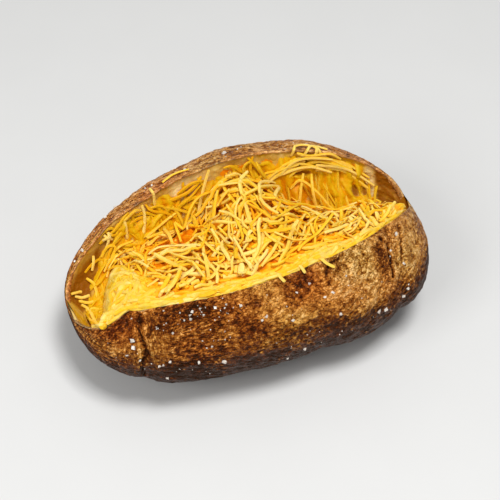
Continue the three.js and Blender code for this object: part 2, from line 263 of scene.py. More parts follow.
def even_stations(count):
    """Values of t from -1 to 1 that are evenly spaced over the skin of the near side."""
    t = np.sin(math.pi / 2 * np.linspace(-1, 1, FINE_STEPS))
    steps = np.hypot(np.diff(t) * LENGTH / 2, np.diff(taper(t, NEAR_BLUNTNESS)) * NEAR_WIDTH)
    way = np.concatenate([[0], np.cumsum(steps)])
    return np.interp(np.linspace(0, way[-1], count), way, t)


class Table:
    """Places in rows along x and columns across, at which values can be kept and read in between."""

    def __init__(self, step, x_end, low, high):
        self.step, self.x_end, self.low = step, x_end, low
        xs, acrosses = np.arange(-x_end, x_end + 1e-6, step), np.arange(low, high + 1e-6, step)
        self.x, self.across = np.meshgrid(xs, acrosses, indexing="ij")

    def cells(self, x, across):
        column = np.clip((np.asarray(x) + self.x_end) / self.step, 0, self.x.shape[0] - 1.001)
        row = np.clip((np.asarray(across) - self.low) / self.step, 0, self.x.shape[1] - 1.001)
        return column, row

    def spots(self, x, across):
        column, row = self.cells(x, across)
        return np.rint(column).astype(int), np.rint(row).astype(int)

    def read(self, values, x, across):
        column, row = self.cells(x, across)
        i, j = column.astype(int), row.astype(int)
        u, v = column - i, row - j
        if values.ndim == 3:
            u, v = u[..., None], v[..., None]
        low = values[i, j] * (1 - v) + values[i, j + 1] * v
        high = values[i + 1, j] * (1 - v) + values[i + 1, j + 1] * v
        return low * (1 - u) + high * u


# The reach of a table over the split and both edges: its step, its end along x, and its ends across.
WIDE_TABLE = (0.5, 68.5, -12, 86)


class Carrier:
    """The carrier as a table of points and normals, to place what lies on it."""

    def __init__(self):
        self.table = Table(*WIDE_TABLE)
        self.points = over_the_split(self.table.x * 2 / LENGTH, self.table.across)
        self.normals = grid_normals(softened(self.points, 6))

    def place(self, x, across, height):
        normals = unit(self.table.read(self.normals, x, across))
        points = self.table.read(self.points, x, across)
        return points + normals * np.asarray(height)[..., None], normals


def softened(values, rounds):
    """Values in rows and columns, with each moved towards its neighbours."""
    for _ in range(rounds):
        values = values.copy()
        values[:, 1:-1] = (values[:, :-2] + 2 * values[:, 1:-1] + values[:, 2:]) / 4
        values[1:-1] = (values[:-2] + 2 * values[1:-1] + values[2:]) / 4
    return values


CARRIER = Carrier()


# ---- Making meshes ----


def coordinates(piece):
    flat = np.empty(len(piece.data.vertices) * 3)
    piece.data.vertices.foreach_get("co", flat)
    return flat.reshape(-1, 3)


def attribute(piece, name, values):
    layer = piece.data.attributes.new(name, "FLOAT", "POINT")
    layer.data.foreach_set("value", np.asarray(values, np.float32).ravel())


def lofted(name, rings, **attributes):
    """A closed surface through rings of points: a sphere whose vertices are moved onto them. The
    first and the last ring count as one point each. Attributes are given like the rings."""
    count, around = rings.shape[:2]
    bpy.ops.object.select_all(action="DESELECT")
    bpy.ops.mesh.primitive_uv_sphere_add(segments=around, ring_count=count - 1, radius=1)
    piece = bpy.context.object
    piece.name = piece.data.name = name
    ball = coordinates(piece)
    ring = np.rint(np.arccos(np.clip(ball[:, 2], -1, 1)) / math.pi * (count - 1)).astype(int)
    turn = np.arctan2(ball[:, 1], ball[:, 0]) / (2 * math.pi)
    place = np.rint(turn * around).astype(int) % around
    points = rings[ring, place] + np.array([0, MIDDLE_SHIFT, 0])
    piece.data.vertices.foreach_set("co", (points * MM).ravel())
    for key, values in attributes.items():
        attribute(piece, key, values[ring, place])
    if enclosed_volume(piece) < 0:
        bpy.ops.object.mode_set(mode="EDIT")
        bpy.ops.mesh.select_all(action="SELECT")
        bpy.ops.mesh.flip_normals()
        bpy.ops.object.mode_set(mode="OBJECT")
    bpy.ops.object.shade_smooth()
    return piece


def enclosed_volume(piece):
    piece.data.calc_loop_triangles()
    corners = np.empty(len(piece.data.loop_triangles) * 3, int)
    piece.data.loop_triangles.foreach_get("vertices", corners)
    a, b, c = coordinates(piece)[corners.reshape(-1, 3)].transpose(1, 0, 2)
    return np.einsum("ij,ij->", a, np.cross(b, c)) / 6


def joined_mesh(name, vertices, faces, **attributes):
    """One flat-shaded piece from many small ones, as arrays of vertices, faces and attributes."""
    mesh = bpy.data.meshes.new(name)
    points = np.concatenate(vertices) + np.array([0, MIDDLE_SHIFT, 0])
    starts = np.cumsum([0] + [len(v) for v in vertices[:-1]])
    corners = [tuple(c + start for c in face) for start, fs in zip(starts, faces) for face in fs]
    mesh.from_pydata((points * MM).tolist(), [], corners)
    piece = bpy.data.objects.new(name, mesh)
    bpy.context.collection.objects.link(piece)
    for key, values in attributes.items():
        attribute(piece, key, np.concatenate(values))
    return piece


def finished(piece, slot, material, *nodes):
    piece.data.materials.clear()
    piece.data.materials.append(material)
    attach(piece, BODY)
    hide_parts(*nodes)


# ---- Materials ----


class Finish:
    """A material being put together from nodes."""

    def __init__(self, name):
        self.material = bpy.data.materials.new(name)
        self.material.use_nodes = True
        self.tree = self.material.node_tree
        self.shader = self.tree.nodes["Principled BSDF"]
        self.place = self.add("ShaderNodeTexCoord").outputs["Object"]

    def add(self, kind, settings=None, **inputs):
        node = self.tree.nodes.new(kind)
        for key, value in (settings or {}).items():
            setattr(node, key, value)
        for key, value in inputs.items():
            self.plug(node.inputs[key.replace("_", " ")], value)
        return node

    def plug(self, socket, value):
        if isinstance(value, bpy.types.NodeSocket):
            self.tree.links.new(value, socket)
        else:
            socket.default_value = value

    def value(self, name):
        """A number that the mesh carries."""
        return self.add("ShaderNodeAttribute", {"attribute_name": name}).outputs["Fac"]

    def noise(self, size, detail=4.0, roughness=0.6, distortion=0.0):
        """Noise from 0 to 1, with features of a size in millimetres."""
        node = self.add(
            "ShaderNodeTexNoise",
            Vector=self.place,
            Scale=1 / (size * MM),
            Detail=detail,
            Roughness=roughness,
            Distortion=distortion,
        )
        return node.outputs["Fac"]

    def pits(self, size):
        """Round cells of a size in millimetres: 0 in their middles, 1 between them."""
        node = self.add("ShaderNodeTexVoronoi", Vector=self.place, Scale=1 / (size * MM))
        return node.outputs["Distance"]

    def lines(self, along_x, along_others, turn, width=0.035):
        """Thin uneven lines, 1 in a line: the size of the pattern along X and across it, in
        millimetres, and its turn about Y in degrees."""
        sizes = (along_x * MM, along_others * MM, along_others * MM)
        turned = self.add(
            "ShaderNodeMapping",
            {"vector_type": "TEXTURE"},
            Vector=self.place,
            Rotation=(0, math.radians(turn), 0),
            Scale=sizes,
        )
        place = turned.outputs["Vector"]
        node = self.add("ShaderNodeTexNoise", Vector=place, Scale=1.0, Detail=2.0, Distortion=0.4)
        stops = [(0.5 - width, (0, 0, 0)), (0.5, (1, 1, 1)), (0.5 + width, (0, 0, 0))]
        return self.ramp(node.outputs["Fac"], stops)

    def math(self, operation, first, second=0.0, third=0.0, clamp=False):
        node = self.add("ShaderNodeMath", {"operation": operation, "use_clamp": clamp})
        for socket, value in zip(node.inputs, (first, second, third)):
            self.plug(socket, value)
        return node.outputs["Value"]

    def times(self, first, second):
        return self.math("MULTIPLY", first, second)

    def highest(self, first, *others):
        for value in others:
            first = self.math("MAXIMUM", first, value)
        return first

    def mixed(self, share, first, second, blend="MIX"):
        node = self.add("ShaderNodeMix", {"data_type": "RGBA", "blend_type": blend})
        self.plug(node.inputs["Factor"], share)
        self.plug(node.inputs["A"], first)
        self.plug(node.inputs["B"], second)
        return node.outputs["Result"]

    def ramp(self, share, stops):
        node = self.add("ShaderNodeValToRGB", Fac=share)
        elements = node.color_ramp.elements
        while len(elements) < len(stops):
            elements.new(0.5)
        for element, (position, colour) in zip(elements, stops):
            element.position = position
            element.color = (*colour[:3], 1)
        return node.outputs["Color"]

    def relief(self, height, depth, before=None):
        """Bump from heights of 0 to 1 that stand for a depth in millimetres."""
        node = self.add("ShaderNodeBump", Strength=1.0, Distance=depth * MM, Height=height)
        if before is not None:
            self.plug(node.inputs["Normal"], before)
        return node.outputs["Normal"]

    def set(self, **inputs):
        for key, value in inputs.items():
            self.plug(self.shader.inputs[key.replace("_", " ")], value)
        return self.material


# By what a colour is multiplied where the skin is redder, and on the film and strands of cheese on
# the far wall, which are partly soaked into the crumb and partly darkened as painted shade.
REDDENING = (1.03, 0.66, 0.50, 1)
SOAKED_AND_SHADED = (0.78, 0.74, 0.10, 1)


def skin_material(colours):
    f = Finish("baked_skin")
    tone, redness, rim = f.value("tone"), f.value("redness"), f.value("rim")
    level, upright, slanted = f.value("level"), f.value("upright"), f.value("slanted")
    folds = f.highest(
        f.times(f.lines(7, 1.1, 0), level),
        f.times(f.lines(0.9, 6, 0), upright),
        f.times(f.lines(7, 1.2, -40), slanted),
        f.times(f.lines(2.6, 2.2, 20, 0.03), 0.75),
        f.times(f.lines(3.0, 1.2, -28, 0.05), 0.6),
    )
    # Light lines on the slanted and upright wrinkles, added to the colour: painted glints.
    painted_glints = f.highest(
        f.times(f.lines(5, 1.3, -52, 0.05), slanted),
        f.times(f.lines(1.2, 7, 8, 0.05), upright),
    )
    # Lighter lines in the level wrinkles: partly tan streaks of the skin, partly painted glints.
    tan_streaks_and_glints = f.times(f.lines(8, 2.0, 5, 0.05), level)
    furrows = f.times(f.lines(7, 1.7, 9, 0.08), level)
    flecks = f.ramp(f.noise(1.2, 2, 0.5, 1.0), [(0.60, (0, 0, 0)), (0.66, (1, 1, 1))])
    dots = f.ramp(f.pits(2.0), [(0.09, (1, 1, 1)), (0.17, (0, 0, 0))])
    spotted = f.times(dots, f.math("GREATER_THAN", f.noise(7, 2), 0.5))
    fine = f.math("SUBTRACT", f.noise(1.4, 5, 0.66), 0.5)
    coarse = f.math("SUBTRACT", f.noise(5, 3, 0.6), 0.5)
    uneven = f.math("MULTIPLY_ADD", tone, -2.0, 2.15)
    share = f.math("MULTIPLY_ADD", fine, uneven, tone)
    # The folds also darken the colour along the wrinkles, beside the bump that they give: painted
    # shade in them.
    layers = ((coarse, 0.55), (tan_streaks_and_glints, 0.24), (furrows, -0.22), (painted_glints, 0.24), (folds, -0.36))
    for pattern, weight in (*layers, (flecks, 0.16)):
        share = f.math("MULTIPLY_ADD", pattern, weight, share)
    share = f.math("MULTIPLY_ADD", spotted, -0.4, share, clamp=True)
    base = f.ramp(
        share,
        [
            (0.05, colours.skin_cracks),
            (0.27, colours.skin_dark),
            (0.5, colours.skin_mid),
            (0.72, colours.skin_gold),
            (0.95, colours.skin_tan),
        ],
    )
    reddened = f.mixed(1.0, base, REDDENING, "MULTIPLY")
    colour = f.mixed(redness, base, reddened)
    colour = f.mixed(rim, colour, (*colours.skin_rim, 1))
    bump = f.relief(f.math("SUBTRACT", 1.0, folds), 0.3)
    bump = f.relief(f.noise(1.6, 4, 0.6), 0.45, bump)
    bump = f.relief(f.noise(0.5, 2, 0.6), 0.07, bump)
    roughness = f.math("MULTIPLY_ADD", f.noise(2.2, 3), 0.3, 0.22)
    return f.set(
        Base_Color=colour,
        Roughness=roughness,
        Normal=bump,
        Specular_IOR_Level=0.33,
        Specular_Tint=(1.0, 0.5, 0.16, 1.0),
        Coat_Weight=0.03,
        Coat_Roughness=0.08,
        Coat_Normal=bump,
        Subsurface_Weight=0.04,
        Subsurface_Radius=(1.0, 0.4, 0.2),
        Subsurface_Scale=0.6 * MM,
    )


def flesh_material(colours):
    f = Finish("potato_crumb")
    stain, brown = f.value("stain"), f.value("brown")
    mottle = f.noise(3.2, 4, 0.6)
    pale = f.ramp(mottle, [(0.3, colours.flesh_shade), (0.7, colours.flesh_pale)])
    stained = f.ramp(mottle, [(0.3, colours.stain_deep), (0.7, colours.stain_light)])
    patchy = f.math("MULTIPLY_ADD", f.math("SUBTRACT", f.noise(4, 3), 0.5), 0.9, stain, clamp=True)
    colour = f.mixed(patchy, pale, stained)
    colour = f.mixed(brown, colour, (*colours.bare_wall, 1))
    bump = f.relief(f.noise(1.1, 4, 0.65), 0.35)
    return f.set(
        Base_Color=colour,
        Roughness=f.math("MULTIPLY_ADD", f.noise(2.5), 0.3, 0.35),
        Normal=bump,
        Specular_IOR_Level=0.1,
        Subsurface_Weight=0.2,
        Subsurface_Radius=(1.0, 0.7, 0.4),
        Subsurface_Scale=0.6 * MM,
    )


def cheddar_material(colours):
    f = Finish("grated_cheddar")
    tone = f.value("tone")
    mottle = f.math("SUBTRACT", f.noise(2.0, 4, 0.6), 0.5)
    share = f.math("MULTIPLY_ADD", mottle, 0.35, tone, clamp=True)
    colour = f.ramp(
        share,
        [
            (0.0, colours.cheese_deep),
            (0.33, colours.cheese_orange),
            (0.66, colours.cheese_yellow),
            (1.0, colours.cheese_pale),
        ],
    )
    # On the far wall's film and strands the colour is darkened: partly soaked cheese, partly painted
    # shade.
    soaked = f.mixed(1.0, colour, SOAKED_AND_SHADED, "MULTIPLY")
    colour = f.mixed(f.value("soaked"), colour, soaked)
    bump = f.relief(f.noise(0.8, 3), 0.12)
    return f.set(
        Base_Color=colour,
        Roughness=f.math("MULTIPLY_ADD", f.noise(3), 0.2, 0.36),
        Normal=bump,
        Subsurface_Weight=0.3,
        Subsurface_Radius=(1.0, 1.0, 0.4),
        Subsurface_Scale=0.5 * MM,
        Specular_IOR_Level=0.15,
    )


def salt_material():
    f = Finish("salt_crystal")
    colour = f.ramp(f.noise(0.6), [(0.3, (0.50, 0.42, 0.33)), (0.7, (0.82, 0.77, 0.70))])
    return f.set(
        Base_Color=colour,
        Roughness=0.22,
        Subsurface_Weight=0.3,
        Subsurface_Radius=(1.0, 1.0, 1.0),
        Subsurface_Scale=0.4 * MM,
        Normal=f.relief(f.noise(0.25, 2), 0.04),
    )


def floor_material(colour):
    f = Finish("pale_table")
    faint = f.ramp(f.noise(40, 2), [(0.3, tuple(0.985 * c for c in colour)), (0.7, colour)])
    return f.set(Base_Color=faint, Roughness=0.6, Normal=f.relief(f.noise(2, 2), 0.02))


# ---- The sizes and colours that a user may change ----


def length_prop(name, description, default):
    return bpy.props.FloatProperty(
        name=name, description=description, default=default * MM, unit="LENGTH", min=0
    )


def colour_prop(name, description, default):
    return bpy.props.FloatVectorProperty(
        name=name, description=description, default=default, subtype="COLOR", size=3, min=0, max=1
    )


class PotatoColours(bpy.types.PropertyGroup):
    """Colours of the skin, the crumb and the cheese."""

    skin_cracks: colour_prop("Skin cracks", "Cracks and pits of the skin", (0.018, 0.003, 0.0005))
    skin_dark: colour_prop("Skin dark", "Well baked skin", (0.088, 0.013, 0.0008))
    skin_mid: colour_prop("Skin middle", "Most of the skin", (0.31, 0.112, 0.012))
    skin_gold: colour_prop("Skin gold", "Lighter skin", (0.65, 0.34, 0.07))
    skin_tan: colour_prop("Skin tan", "Dry raised flakes", (0.93, 0.65, 0.27))
    skin_rim: colour_prop("Skin rim", "Torn edge of the skin", (0.84, 0.62, 0.33))
    flesh_pale: colour_prop("Flesh pale", "Bare potato flesh", (0.88, 0.69, 0.33))
    flesh_shade: colour_prop("Flesh shade", "Denser potato flesh", (0.74, 0.50, 0.16))
    stain_light: colour_prop("Stain light", "Flesh that cheese has run into", (0.66, 0.38, 0.012))
    stain_deep: colour_prop("Stain deep", "Flesh soaked by cheese", (0.54, 0.25, 0.003))
    bare_wall: colour_prop("Bare wall", "Scraped inner wall of the skin", (0.27, 0.085, 0.0015))
    # The two deeper cheese colours go mostly where the tone is painted shade: the gaps, undersides
    # and hollows of the heap.
    cheese_deep: colour_prop("Cheese deep", "Cheese deep in the heap", (0.76, 0.215, 0.001))
    cheese_orange: colour_prop("Cheese orange", "Cheese in the gaps", (0.95, 0.38, 0.004))
    cheese_yellow: colour_prop("Cheese yellow", "Melted cheese", (0.89, 0.54, 0.020))
    cheese_pale: colour_prop("Cheese pale", "Dry shreds on top", (0.94, 0.70, 0.20))


class SkinSizes(bpy.types.PropertyGroup):
    """Sizes of the skin."""

    thickness: length_prop("Thickness", "Thickness of the skin", 1.0)
    wrinkle_depth: length_prop("Wrinkle depth", "Depth of the leathery wrinkles", 0.55)
    lump_height: length_prop("Lump height", "Height of the low lumps", 0.42)


class CheeseSizes(bpy.types.PropertyGroup):
    """Sizes and numbers of the shreds."""

    shred_width: length_prop("Shred width", "Width of a shred", 1.34)
    pile_height: length_prop("Pile height", "How high shreds pile over the heap", 3.0)
    shreds: bpy.props.IntProperty(
        name="Shreds", description="Number of shreds tried", default=1900, min=0
    )


class SaltSizes(bpy.types.PropertyGroup):
    """Sizes and number of the salt grains."""

    grains: bpy.props.IntProperty(name="Grains", description="Number of strewn grains", default=46)
    smallest: length_prop("Smallest", "Smallest grain", 0.28)
    largest: length_prop("Largest", "Largest grain", 0.95)


class StageSettings(bpy.types.PropertyGroup):
    """Floor, lights and camera."""

    floor_colour: colour_prop("Floor", "Colour of the floor", (0.70, 0.70, 0.69))
    key_power: bpy.props.FloatProperty(
        name="Key light", description="Power of the main light", default=6.7, unit="POWER"
    )
    fill_power: bpy.props.FloatProperty(
        name="Fill light", description="Power of the soft front light", default=3.0, unit="POWER"
    )
    lens: bpy.props.FloatProperty(
        name="Lens", description="Focal length of the camera", default=97.2, unit="CAMERA"
    )


# ---- Skin and crumb ----

# How many rings the skin has, and points in a ring on its outer wall, its inner wall and each lip.
SKIN_STATIONS, SKIN_OUTSIDE, SKIN_INSIDE, LIP_POINTS = 262, 334, 24, 3
SKIN_GIRTH = 225.0  # about, from lip to lip round the belly
SKIN_EXTRA = 1.4  # by how much the skin is thicker away from its edges


def spread(count, density):
    """Shares from 0 to 1 that lie closer together where the density is higher."""
    fine = np.linspace(0, 1, 2001)
    way = np.concatenate([[0], np.cumsum(density((fine[1:] + fine[:-1]) / 2))])
    return np.interp(np.linspace(0, way[-1], count), way, fine)


def skin_density(share):
    """How densely the outer wall's points stand: most by the near edge, fewer below."""
    return 2.0 - 0.85 * smoothstep(share, 0.26, 0.36) + 0.3 * smoothstep(share, 0.8, 0.92)


def folds_along(x, s, direction, long, wide, seed):
    """Narrow folds that run in a direction, in radians from +X towards the belly: 1 in a fold."""
    bend = 1.1 * grain(np.stack([x / 11, s / 11, np.full_like(x, seed)], -1), 1, seed)
    u = x * np.cos(direction) + s * np.sin(direction)
    v = s * np.cos(direction) - x * np.sin(direction) + 2.2 * bend
    field = grain(np.stack([u / long, v / wide, np.full_like(x, 0.37 * seed)], -1), 1, seed)
    return (1 - np.minimum(1, np.abs(field) / 0.3)) ** 1.5


def skin_regions(x, s):
    """Shares of the skin with folds that run level, upright and slanted, and without any."""
    end = smoothstep(-x, 54, 62)
    crease = bell(x, -50 - 0.12 * (s - 20), 7) * (1 - 0.7 * end) * smoothstep(s, -2, 8)
    left = smoothstep(-x, 14, 26) * (1 - crease) * (1 - end)
    right, right_end = smoothstep(x, 12, 24), smoothstep(x, 52, 60)
    far = smoothstep(s, 120, 150)
    level = np.maximum(left * (1 - far), 0.7 * far)
    upright = np.maximum(crease, 0.8 * right_end) * (1 - far)
    slanted = np.maximum(end, right * (1 - 0.7 * right_end)) * (1 - far)
    return {"level": level, "upright": upright, "slanted": slanted}


def skin_relief(x, s, regions):
    """Folds and lumps of the skin, about 0 to 1 and -1 to 1, at s below the near edge."""
    flat = in_plane(x, s)
    level = folds_along(x, s, 0.1, 7.5, 1.9, 3) * regions["level"]
    upright = folds_along(x, s, math.pi / 2, 8, 1.5, 5) * regions["upright"]
    slanted = folds_along(x, s, np.where(x > 0, 2.45, 1.15), 8, 1.8, 8) * regions["slanted"]
    plain = 1 - np.minimum(1, sum(regions.values()))
    net = folds_along(x, s, 0.9, 2.6, 1.6, 14) * (0.7 * plain + 0.2)
    folds = np.maximum.reduce([level, upright, slanted, net])
    lumps = 0.7 * grain(flat, 9, 21) + 0.6 * grain(flat, 4, 22) + 0.45 * grain(flat, 2.2, 23)
    return folds, lumps


# Long cracks, as points of x and the way below the near edge, with a half width and a depth.
SKIN_CRACKS = [
    ([(-49, 3), (-51, 17), (-50.5, 30), (-53, 44), (-52, 58)], 0.4, 1.1),
    ([(-46, 1), (-46.5, 10), (-48.5, 18)], 0.35, 0.5),
    ([(44, 3), (46, 9), (45.5, 16), (44, 24)], 0.45, 0.9),
    ([(54.5, 4), (53, 10), (50, 20)], 0.45, 0.7),
    ([(27, 1), (21, 3), (18.5, 6), (18.5, 11)], 0.45, 0.7),
    ([(23, 0), (25.5, 4), (27, 8)], 0.4, 0.5),
    ([(34, 2), (36, 7), (34.5, 11)], 0.4, 0.4),
]


def from_line(x, s, knots):
    """How far places on the skin are from a line through knots, at most 3."""
    nearest = np.full(x.shape, 3.0)
    for (x0, s0), (x1, s1) in itertools.pairwise(knots):
        dx, ds = x1 - x0, s1 - s0
        share = np.clip(((x - x0) * dx + (s - s0) * ds) / (dx * dx + ds * ds), 0, 1)
        nearest = np.minimum(nearest, np.hypot(x - x0 - share * dx, s - s0 - share * ds))
    return nearest


def cracks_at(x, s):
    """Depth of the long cracks, and how much paler the skin is beside them."""
    flat = in_plane(x, s)
    stray_x, stray_s = 0.9 * grain(flat, 4, 45), 0.9 * grain(flat, 4, 46)
    depth, beside = np.zeros_like(x), np.zeros_like(x)
    for knots, width, deep in SKIN_CRACKS:
        away = from_line(x + stray_x, s + stray_s, knots)
        depth = np.maximum(depth, deep * bell(away, 0, width))
        beside = np.maximum(beside, deep * bell(away, 1.5, 0.6))
    return depth, beside


# Where, below the near edge, the paler strip under the far edge starts and is full.
FAR_STRIP = (195, 206)

# Places on the skin that are darker or lighter than the rest: x, the way below the near edge, their
# reach in both directions, and how much lighter (or, below 0, darker) they are.
# The lighter patches at the thin end, at -50 and -62 along x, stand partly for golden skin and
# partly for painted glints on its crinkles.
SKIN_PATCHES = [
    (-10, 7, 4, 4, -0.22), (-14, 21, 4, 5, -0.30), (-17, 13, 3, 3, -0.20), (3, 29, 6, 4, -0.34),
    (-16, 42, 5, 5, -0.30), (16, 48, 9, 5, -0.22), (-50, 40, 8, 12, 0.12), (28, 12, 9, 10, 0.2),
    (40, 3, 7, 4, 0.16), (57, 22, 9, 16, 0.16), (42, 13, 2.8, 10, -0.34), (9, 6, 5, 7, -0.26),
    (-2, 12, 6, 8, 0.10), (-36, 7, 14, 5, -0.20), (-62, 22, 8, 15, 0.1), (20, 34, 9, 6, -0.26),
    (-26, 33, 9, 7, 0.08), (8, 20, 5, 6, 0.12), (33, 27, 6, 5, 0.14), (-55, 4, 6, 6, -0.24),
    (58, 8, 7, 8, 0.12), (35, 20, 9, 9, 0.10), (-46, 3, 2.2, 5, 0.22), (9, -1, 4, 3, -0.2),
]


def skin_tones(x, s, folds, lumps):
    """How light and how red the skin is."""
    flat = in_plane(x, s)
    # Lumps that stand out are made lighter, and folds darker below: painted light and painted shade
    # that follow the relief.
    tone = 0.60 + 0.11 * rough(flat, 13, 31) + 0.09 * grain(flat, 2.2, 35) + 0.08 * lumps
    for place_x, place_s, reach_x, reach_s, lighter in SKIN_PATCHES:
        tone = tone + lighter * patch(x, s, place_x, place_s, reach_x, reach_s)
    tone = tone - 0.20 * folds - 0.07 * smoothstep(-x, 8, 40) * (1 - smoothstep(s, 60, 90))
    # Darker down the near side and round the belly, lighter again up the far side: painted shade of
    # the underside.
    tone = tone - 0.55 * smoothstep(s, 25, 58) + 0.33 * smoothstep(s, 110, 150)
    strip = smoothstep(s, *FAR_STRIP)
    tone = tone + strip * (0.42 + 0.3 * grain(flat, 2.4, 38))
    redness = 0.30 + 0.35 * smoothstep(-x, 0, 30) + 0.45 * grain(flat, 16, 37)
    redness = redness + 0.5 * patch(x, s, 42, 16, 5, 16) + 0.5 * patch(x, s, 12, 7, 8, 9)
    redness = redness + 0.3 * patch(x, s, -36, 8, 22, 9) - 0.3 * patch(x, s, -55, 32, 12, 16)
    redness = redness + 0.25 * strip - 0.25 * smoothstep(s, 24, 40) * (1 - smoothstep(s, 90, 120))
    return np.clip(tone, 0, 1), np.clip(redness, 0, 1)


def lip_jag(x, seed, much=1.0):
    """How far the torn edge of the skin strays, in radians."""
    line = in_plane(x, 0 * x)
    stray = 0.8 * grain(line, 6, seed) + 0.45 * grain(line, 2.1, seed + 1)
    return much * stray / FAR_WIDTH


def outward(points):
    """The ways out of a grid whose columns go round the potato."""
    normals = grid_normals(points)
    middle = len(points) // 2
    facing = np.sum(normals[middle, :, 2] * (points[middle, :, 2] - WIDEST_LEVEL))
    return normals if facing > 0 else -normals


class MakeSkin(bpy.types.Operator):
    """Makes the skin: a thin shell with wrinkles, lumps and torn edges"""

    bl_idname = "potato.skin"
    bl_label = "Skin"

    def execute(self, context):
        scene = context.scene
        sizes = scene.potato_skin
        edge = sizes.thickness / MM
        t = even_stations(SKIN_STATIONS)[:, None]
        x = t * LENGTH / 2
        peak = 0.045 * bell(x, -52, 2.2) - 0.03 * bell(x, -48, 1.5)
        near_edge = near_lip_angle(t) + lip_jag(x, 41) * taper(t, 6) - peak
        far_edge = far_lip_angle(t) - lip_jag(x, 47, 1.5) * taper(t, 6) + 2 * math.pi
        outside, values = self.outer_wall(sizes, t, near_edge, far_edge)
        inside = self.inner_wall(edge, t, near_edge, far_edge)
        far_lip, near_lip = lip_round(outside, inside, edge), lip_round(inside, outside, edge)
        rings = np.concatenate([outside, far_lip, inside, near_lip], 1)
        rings[..., 2] = np.maximum(0, rings[..., 2])
        rings[0], rings[-1] = rings[0].mean(0), rings[-1].mean(0)
        rings[0, :, 0], rings[-1, :, 0] = -LENGTH / 2, LENGTH / 2
        values = {key: self.carried_on(value) for key, value in values.items()}
        piece = lofted("skin", rings, rim=self.rim(x), **values)
        finished(piece, "potato_skin", skin_material(scene.potato_colours), "potato")
        return {"FINISHED"}

    def outer_wall(self, sizes, t, near_edge, far_edge):
        """Points of the wall that shows, with its relief, and the values that its material reads."""
        share = spread(SKIN_OUTSIDE, skin_density)[None, :]
        angle = lerp(near_edge, far_edge, share)
        outside = skin_point(t, angle)
        s = (angle - near_lip_angle(t)) * FAR_WIDTH
        x = t * LENGTH / 2 + 0 * s
        regions = skin_regions(x, s)
        folds, lumps = skin_relief(x, s, regions)
        tone, redness = skin_tones(x, s, folds, lumps)
        crack, beside = cracks_at(x, s)
        tone = np.clip(tone - 0.6 * crack + 0.14 * beside, 0, 1)
        blister = 0.5 * bell(np.hypot(x - 23, 0.8 * (s - 14)), 2.2, 0.7)
        relief = sizes.lump_height / MM * lumps - sizes.wrinkle_depth / MM * folds
        relief = relief - 0.9 * crack + 0.25 * beside + blister
        from_lip = np.minimum(share, 1 - share) * SKIN_GIRTH
        relief = relief * taper(t, 8) * (0.4 + 0.6 * smoothstep(from_lip, 0, 5))
        values = {"tone": tone, "redness": redness, **regions}
        return outside + outward(outside) * relief[..., None], values

    def inner_wall(self, edge, t, near_edge, far_edge):
        """Points of the wall against the crumb. The skin is thicker away from its edges."""
        share = np.linspace(1, 0, SKIN_INSIDE)[None, :]
        inside = skin_point(t, lerp(near_edge, far_edge, share))
        from_lip = np.minimum(share, 1 - share) * SKIN_GIRTH
        thickness = lerp(edge, edge + SKIN_EXTRA, smoothstep(from_lip, 1, 9))
        return inside - outward(inside) * (thickness * taper(t, 12))[..., None]

    def carried_on(self, values):
        """Values of the outer wall, carried on over the torn edges and the inner wall."""
        near = np.repeat(values[:, :1], LIP_POINTS, 1)
        far = np.repeat(values[:, -1:], LIP_POINTS + SKIN_INSIDE, 1)
        return np.concatenate([values, far, near], 1)

    def rim(self, x):
        """How pale the torn edges are, uneven along x."""
        paleness = 0.5 + 0.5 * grain(in_plane(x, 0 * x), 2.5, 49)
        near = 0.3 + 0.7 * smoothstep(x, -49, -45) * (1 - smoothstep(x, -16, -8))
        rim = np.zeros((SKIN_STATIONS, SKIN_OUTSIDE + SKIN_INSIDE + 2 * LIP_POINTS))
        rim[:, SKIN_OUTSIDE : SKIN_OUTSIDE + LIP_POINTS + 1] = 0.4 * paleness
        rim[:, -LIP_POINTS:] = rim[:, :1] = near * (0.5 + 0.5 * paleness)
        return rim


def lip_round(before, after, thickness):
    """Points round the edge from the end of one wall of the skin to the start of the next."""
    a, b = before[:, -1], after[:, 0]
    way = unit(before[:, -1] - before[:, -2])
    shares = np.linspace(0, 1, LIP_POINTS + 2)[1:-1]
    bulge = np.sin(math.pi * shares) * 0.35 * thickness
    return np.stack([lerp(a, b, k) + way * h for k, h in zip(shares, bulge)], 1)


FLESH_STATIONS = 250
FLESH_TOP = 200
FLESH_UNDER = 24

# Holes in the film of cheese, as x and across with their half sizes.
FILM_HOLES = [(52.5, 16, 1.2, 2.4), (56, 15.5, 0.9, 1.9), (62, 19.5, 0.8, 1.8), (33, 8.5, 3.2, 0.7)]


def film_holes(x, across):
    """1 in the holes of the film of cheese at the fat end, 0 beside them."""
    holes = 0
    for middle_x, middle_across, half_x, half_across in FILM_HOLES:
        away = np.hypot((x - middle_x) / half_x, (across - middle_across) / half_across)
        holes = holes + smoothstep(1.5 - away, 0, 0.8)
    return holes


